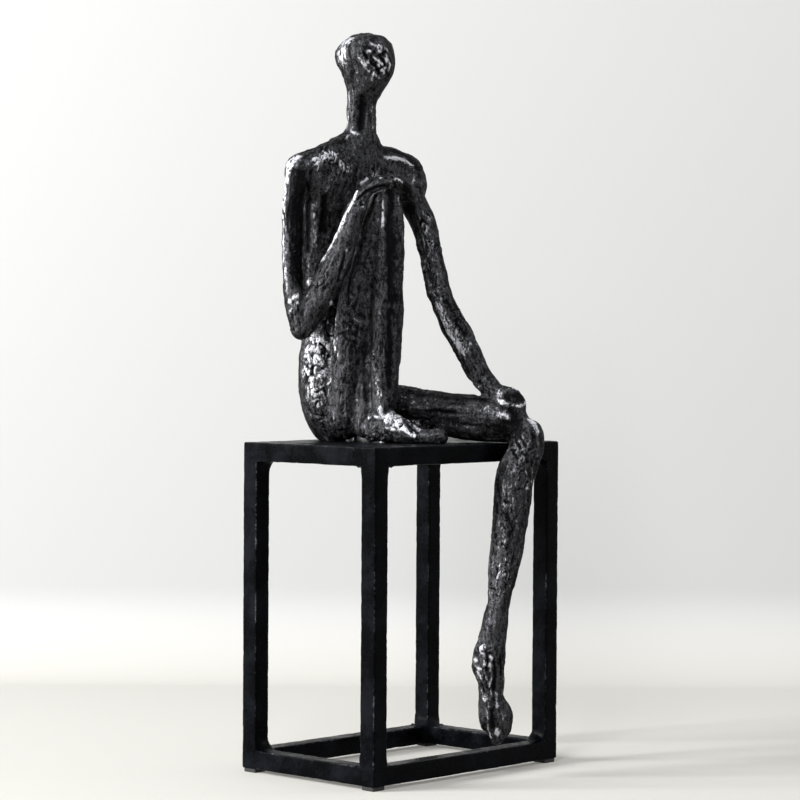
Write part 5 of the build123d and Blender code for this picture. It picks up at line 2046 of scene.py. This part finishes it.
@dataclass
class Stand:
    """The welded frame with its plate, fixings and pads.

    slots: which slot's finish each node that stays gets.
    """

    frame: WeldedFrame = WeldedFrame()
    slots: dict[str, str] = field(
        default_factory=lambda: {
            "seat_plate": "stand",
            "joint_dowels": "steel_fixings",
            "fixing_screws": "steel_fixings",
            **{f"foot_pad_{corner}": "pad" for corner in CORNERS},
        }
    )

    def build(
        self, nodes: dict[str, bpy.types.Object], materials: Materials
    ) -> list[bpy.types.Object]:
        """Makes the frame and dresses the nodes that stay.

        Args:
            nodes: the loaded objects by name.
            materials: finishes by the names of their slots.

        Returns:
            The frame and the dressed nodes.
        """
        made = [self.frame.build(materials)]
        for name, node in nodes.items():
            if name in self.slots:
                dress(node, materials[self.slots[name]])
                made.append(node)
        return made


def dress(node: bpy.types.Object, material: bpy.types.Material) -> None:
    """Gives a carried-over node one material in all its slots.

    Args:
        node: the object.
        material: its finish.
    """
    if not node.material_slots:
        node.data.materials.append(material)
    for slot in node.material_slots:
        slot.material = material


# ---- studio and camera


@dataclass(frozen=True)
class Lamp:
    """One square soft lamp that faces the figure. Metres and watts."""

    name: str
    place: Triple
    size: float
    power: float
    aim: Triple = (0.0, 0.0, 0.22)

    def build(self) -> None:
        """Creates the lamp at its place, turned to its aim."""
        data = bpy.data.lights.new(self.name, "AREA")
        data.shape = "SQUARE"
        data.size = self.size
        data.energy = self.power
        made = bpy.data.objects.new(self.name, data)
        bpy.context.scene.collection.objects.link(made)
        made.location = self.place
        way = Vector(self.aim) - Vector(self.place)
        made.rotation_euler = way.to_track_quat("-Z", "Y").to_euler()


@dataclass(frozen=True)
class Studio:
    """Pale table and wall, soft lamps and the camera at the photograph's angle. Metres.

    glow and world are strengths of light near the object and far off, or for other rays and
    for those that see it.
    """

    eye: Triple = (-1.08415, -1.00335, 0.23010)
    right: Triple = (0.68323, -0.73017, 0.00594)
    up: Triple = (0.01273, 0.02005, 0.99972)
    back: Triple = (-0.73009, -0.68297, 0.02299)
    lens: float = 125.2
    wall_gap: float = 0.40
    wall_top: float = 2.4
    bend: float = 0.06
    table_end: float = -7.0
    half_width: float = 6.0
    table: Triple = (0.50, 0.49, 0.46)
    wall: Triple = (0.55, 0.55, 0.54)
    unseen: Triple = (0.10, 0.10, 0.10)
    glow: Span = (0.35, 1.35)
    glow_span: Span = (0.9, 3.2)
    sky: Triple = (0.92, 0.94, 1.0)
    world: Span = (0.12, 0.78)
    lamps: tuple[Lamp, ...] = (
        Lamp("key", (-1.65, 0.95, 0.95), 0.75, 76.0),
        Lamp("front", (-1.25, -0.60, 1.05), 0.40, 10.5),
        Lamp("side", (0.84, -0.76, 0.75), 0.45, 2.8),
        Lamp("top", (0.15, 0.10, 1.5), 0.9, 7.0),
    )

    def camera(self) -> None:
        """Creates the camera from its place and axes."""
        data = bpy.data.cameras.new("camera")
        data.lens = self.lens
        data.sensor_width = 36.0
        data.clip_end = 20.0
        camera = bpy.data.objects.new("camera", data)
        bpy.context.scene.collection.objects.link(camera)
        rows = Matrix((self.right, self.up, self.back)).transposed().to_4x4()
        camera.matrix_world = Matrix.Translation(self.eye) @ rows
        bpy.context.scene.camera = camera

    def backdrop(self) -> bpy.types.Material:
        """Pale finish that shines a little for the rays that see it, and more far off.

        Returns:
            The material.
        """
        material, nodes, shader = new_material("studio_sweep")
        where = nodes.add("ShaderNodeTexCoord").outputs["Object"]
        split = nodes.add("ShaderNodeSeparateXYZ")
        far = nodes.add("ShaderNodeVectorMath", operation="LENGTH")
        nodes.join(where, split.inputs[0])
        nodes.join(where, far.inputs[0])
        pale = nodes.blend(nodes.span(split.outputs["Z"], (0.002, 0.05)), self.table, self.wall)
        seen = nodes.seen_ray()
        glow = nodes.span(far.outputs["Value"], self.glow_span, self.glow)
        nodes.put(shader, "Base Color", nodes.blend(seen, self.unseen, pale))
        nodes.put(shader, "Emission Color", pale)
        nodes.put(shader, "Emission Strength", nodes.math("MULTIPLY", seen, glow))
        nodes.put(shader, "Roughness", 0.75)
        nodes.put(shader, "Specular IOR Level", 0.1)
        return material

    def sweep(self) -> None:
        """Table that rises into a wall behind the object, as one smooth sheet.

        Formula: the section runs level, then through a quarter circle, then upright, and is
        carried sideways across the view.
        """
        level = np.array([1.0, 1.0, 0.0])
        away = unit(-np.array(self.back) * level)
        side = unit(np.array(self.right) * level)
        turn = np.linspace(0.0, np.pi / 2, 14)[1:]
        foot = self.wall_gap - self.bend
        floor = np.linspace(self.table_end, foot, 12)
        height = np.linspace(self.bend, self.wall_top, 7)[1:]
        upright = np.full(len(height), self.wall_gap)
        reach = np.concatenate([floor, foot + self.bend * np.sin(turn), upright])
        curve = self.bend - self.bend * np.cos(turn)
        rise = np.concatenate([np.zeros(len(floor)), curve, height])
        span = np.linspace(-self.half_width, self.half_width, 13)
        grid = reach[:, None, None] * away + rise[:, None, None] * UP + span[None, :, None] * side
        faces = grid_quads(len(reach), len(span)).tolist()
        sheet = new_object("studio_sweep", grid.reshape(-1, 3), faces)
        sheet.data.materials.append(self.backdrop())
        sheet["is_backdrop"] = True

    def light(self) -> None:
        """Builds the lamps and a pale world that is dim but for the rays that see it.

        The key stands to the image's left; weaker lamps in front, at the hanging leg's side and
        above fill its shadows.
        """
        for lamp in self.lamps:
            lamp.build()
        world = bpy.data.worlds.new("studio")
        bpy.context.scene.world = world
        world.use_nodes = True
        nodes = Nodes(world.node_tree)
        dome = nodes.add("ShaderNodeBackground")
        nodes.put(dome, 0, self.sky)
        nodes.put(dome, 1, nodes.span(nodes.seen_ray(), (0.0, 1.0), self.world))
        nodes.join(dome.outputs[0], nodes.add("ShaderNodeOutputWorld").inputs[0])
        bpy.context.scene.view_settings.view_transform = "Standard"


def main() -> None:
    """Builds the object, the studio and the camera."""
    logging.basicConfig(level=logging.INFO, format="%(message)s")
    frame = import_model()
    studio = Studio()
    studio.camera()
    film = film_group()
    fixings = PlainFinish("steel_fixings", (0.35, 0.35, 0.36), rough=0.35, metal=1.0)
    pad = PlainFinish("pad_rubber", (0.012, 0.012, 0.012), rough=0.7, metal=0.0)
    materials = {
        "casting": cast_material(CastFinish(), film),
        "stand": paint_material(PaintFinish(), film),
        "steel_fixings": plain_material(fixings, film),
        "pad": plain_material(pad, film),
    }
    for piece in Stand().build(frame["nodes"], materials) + Figure().build(materials):
        LOG.info("%s: %d faces", piece.name, len(piece.data.polygons))
    studio.sweep()
    studio.light()


if __name__ == "__main__":
    main()
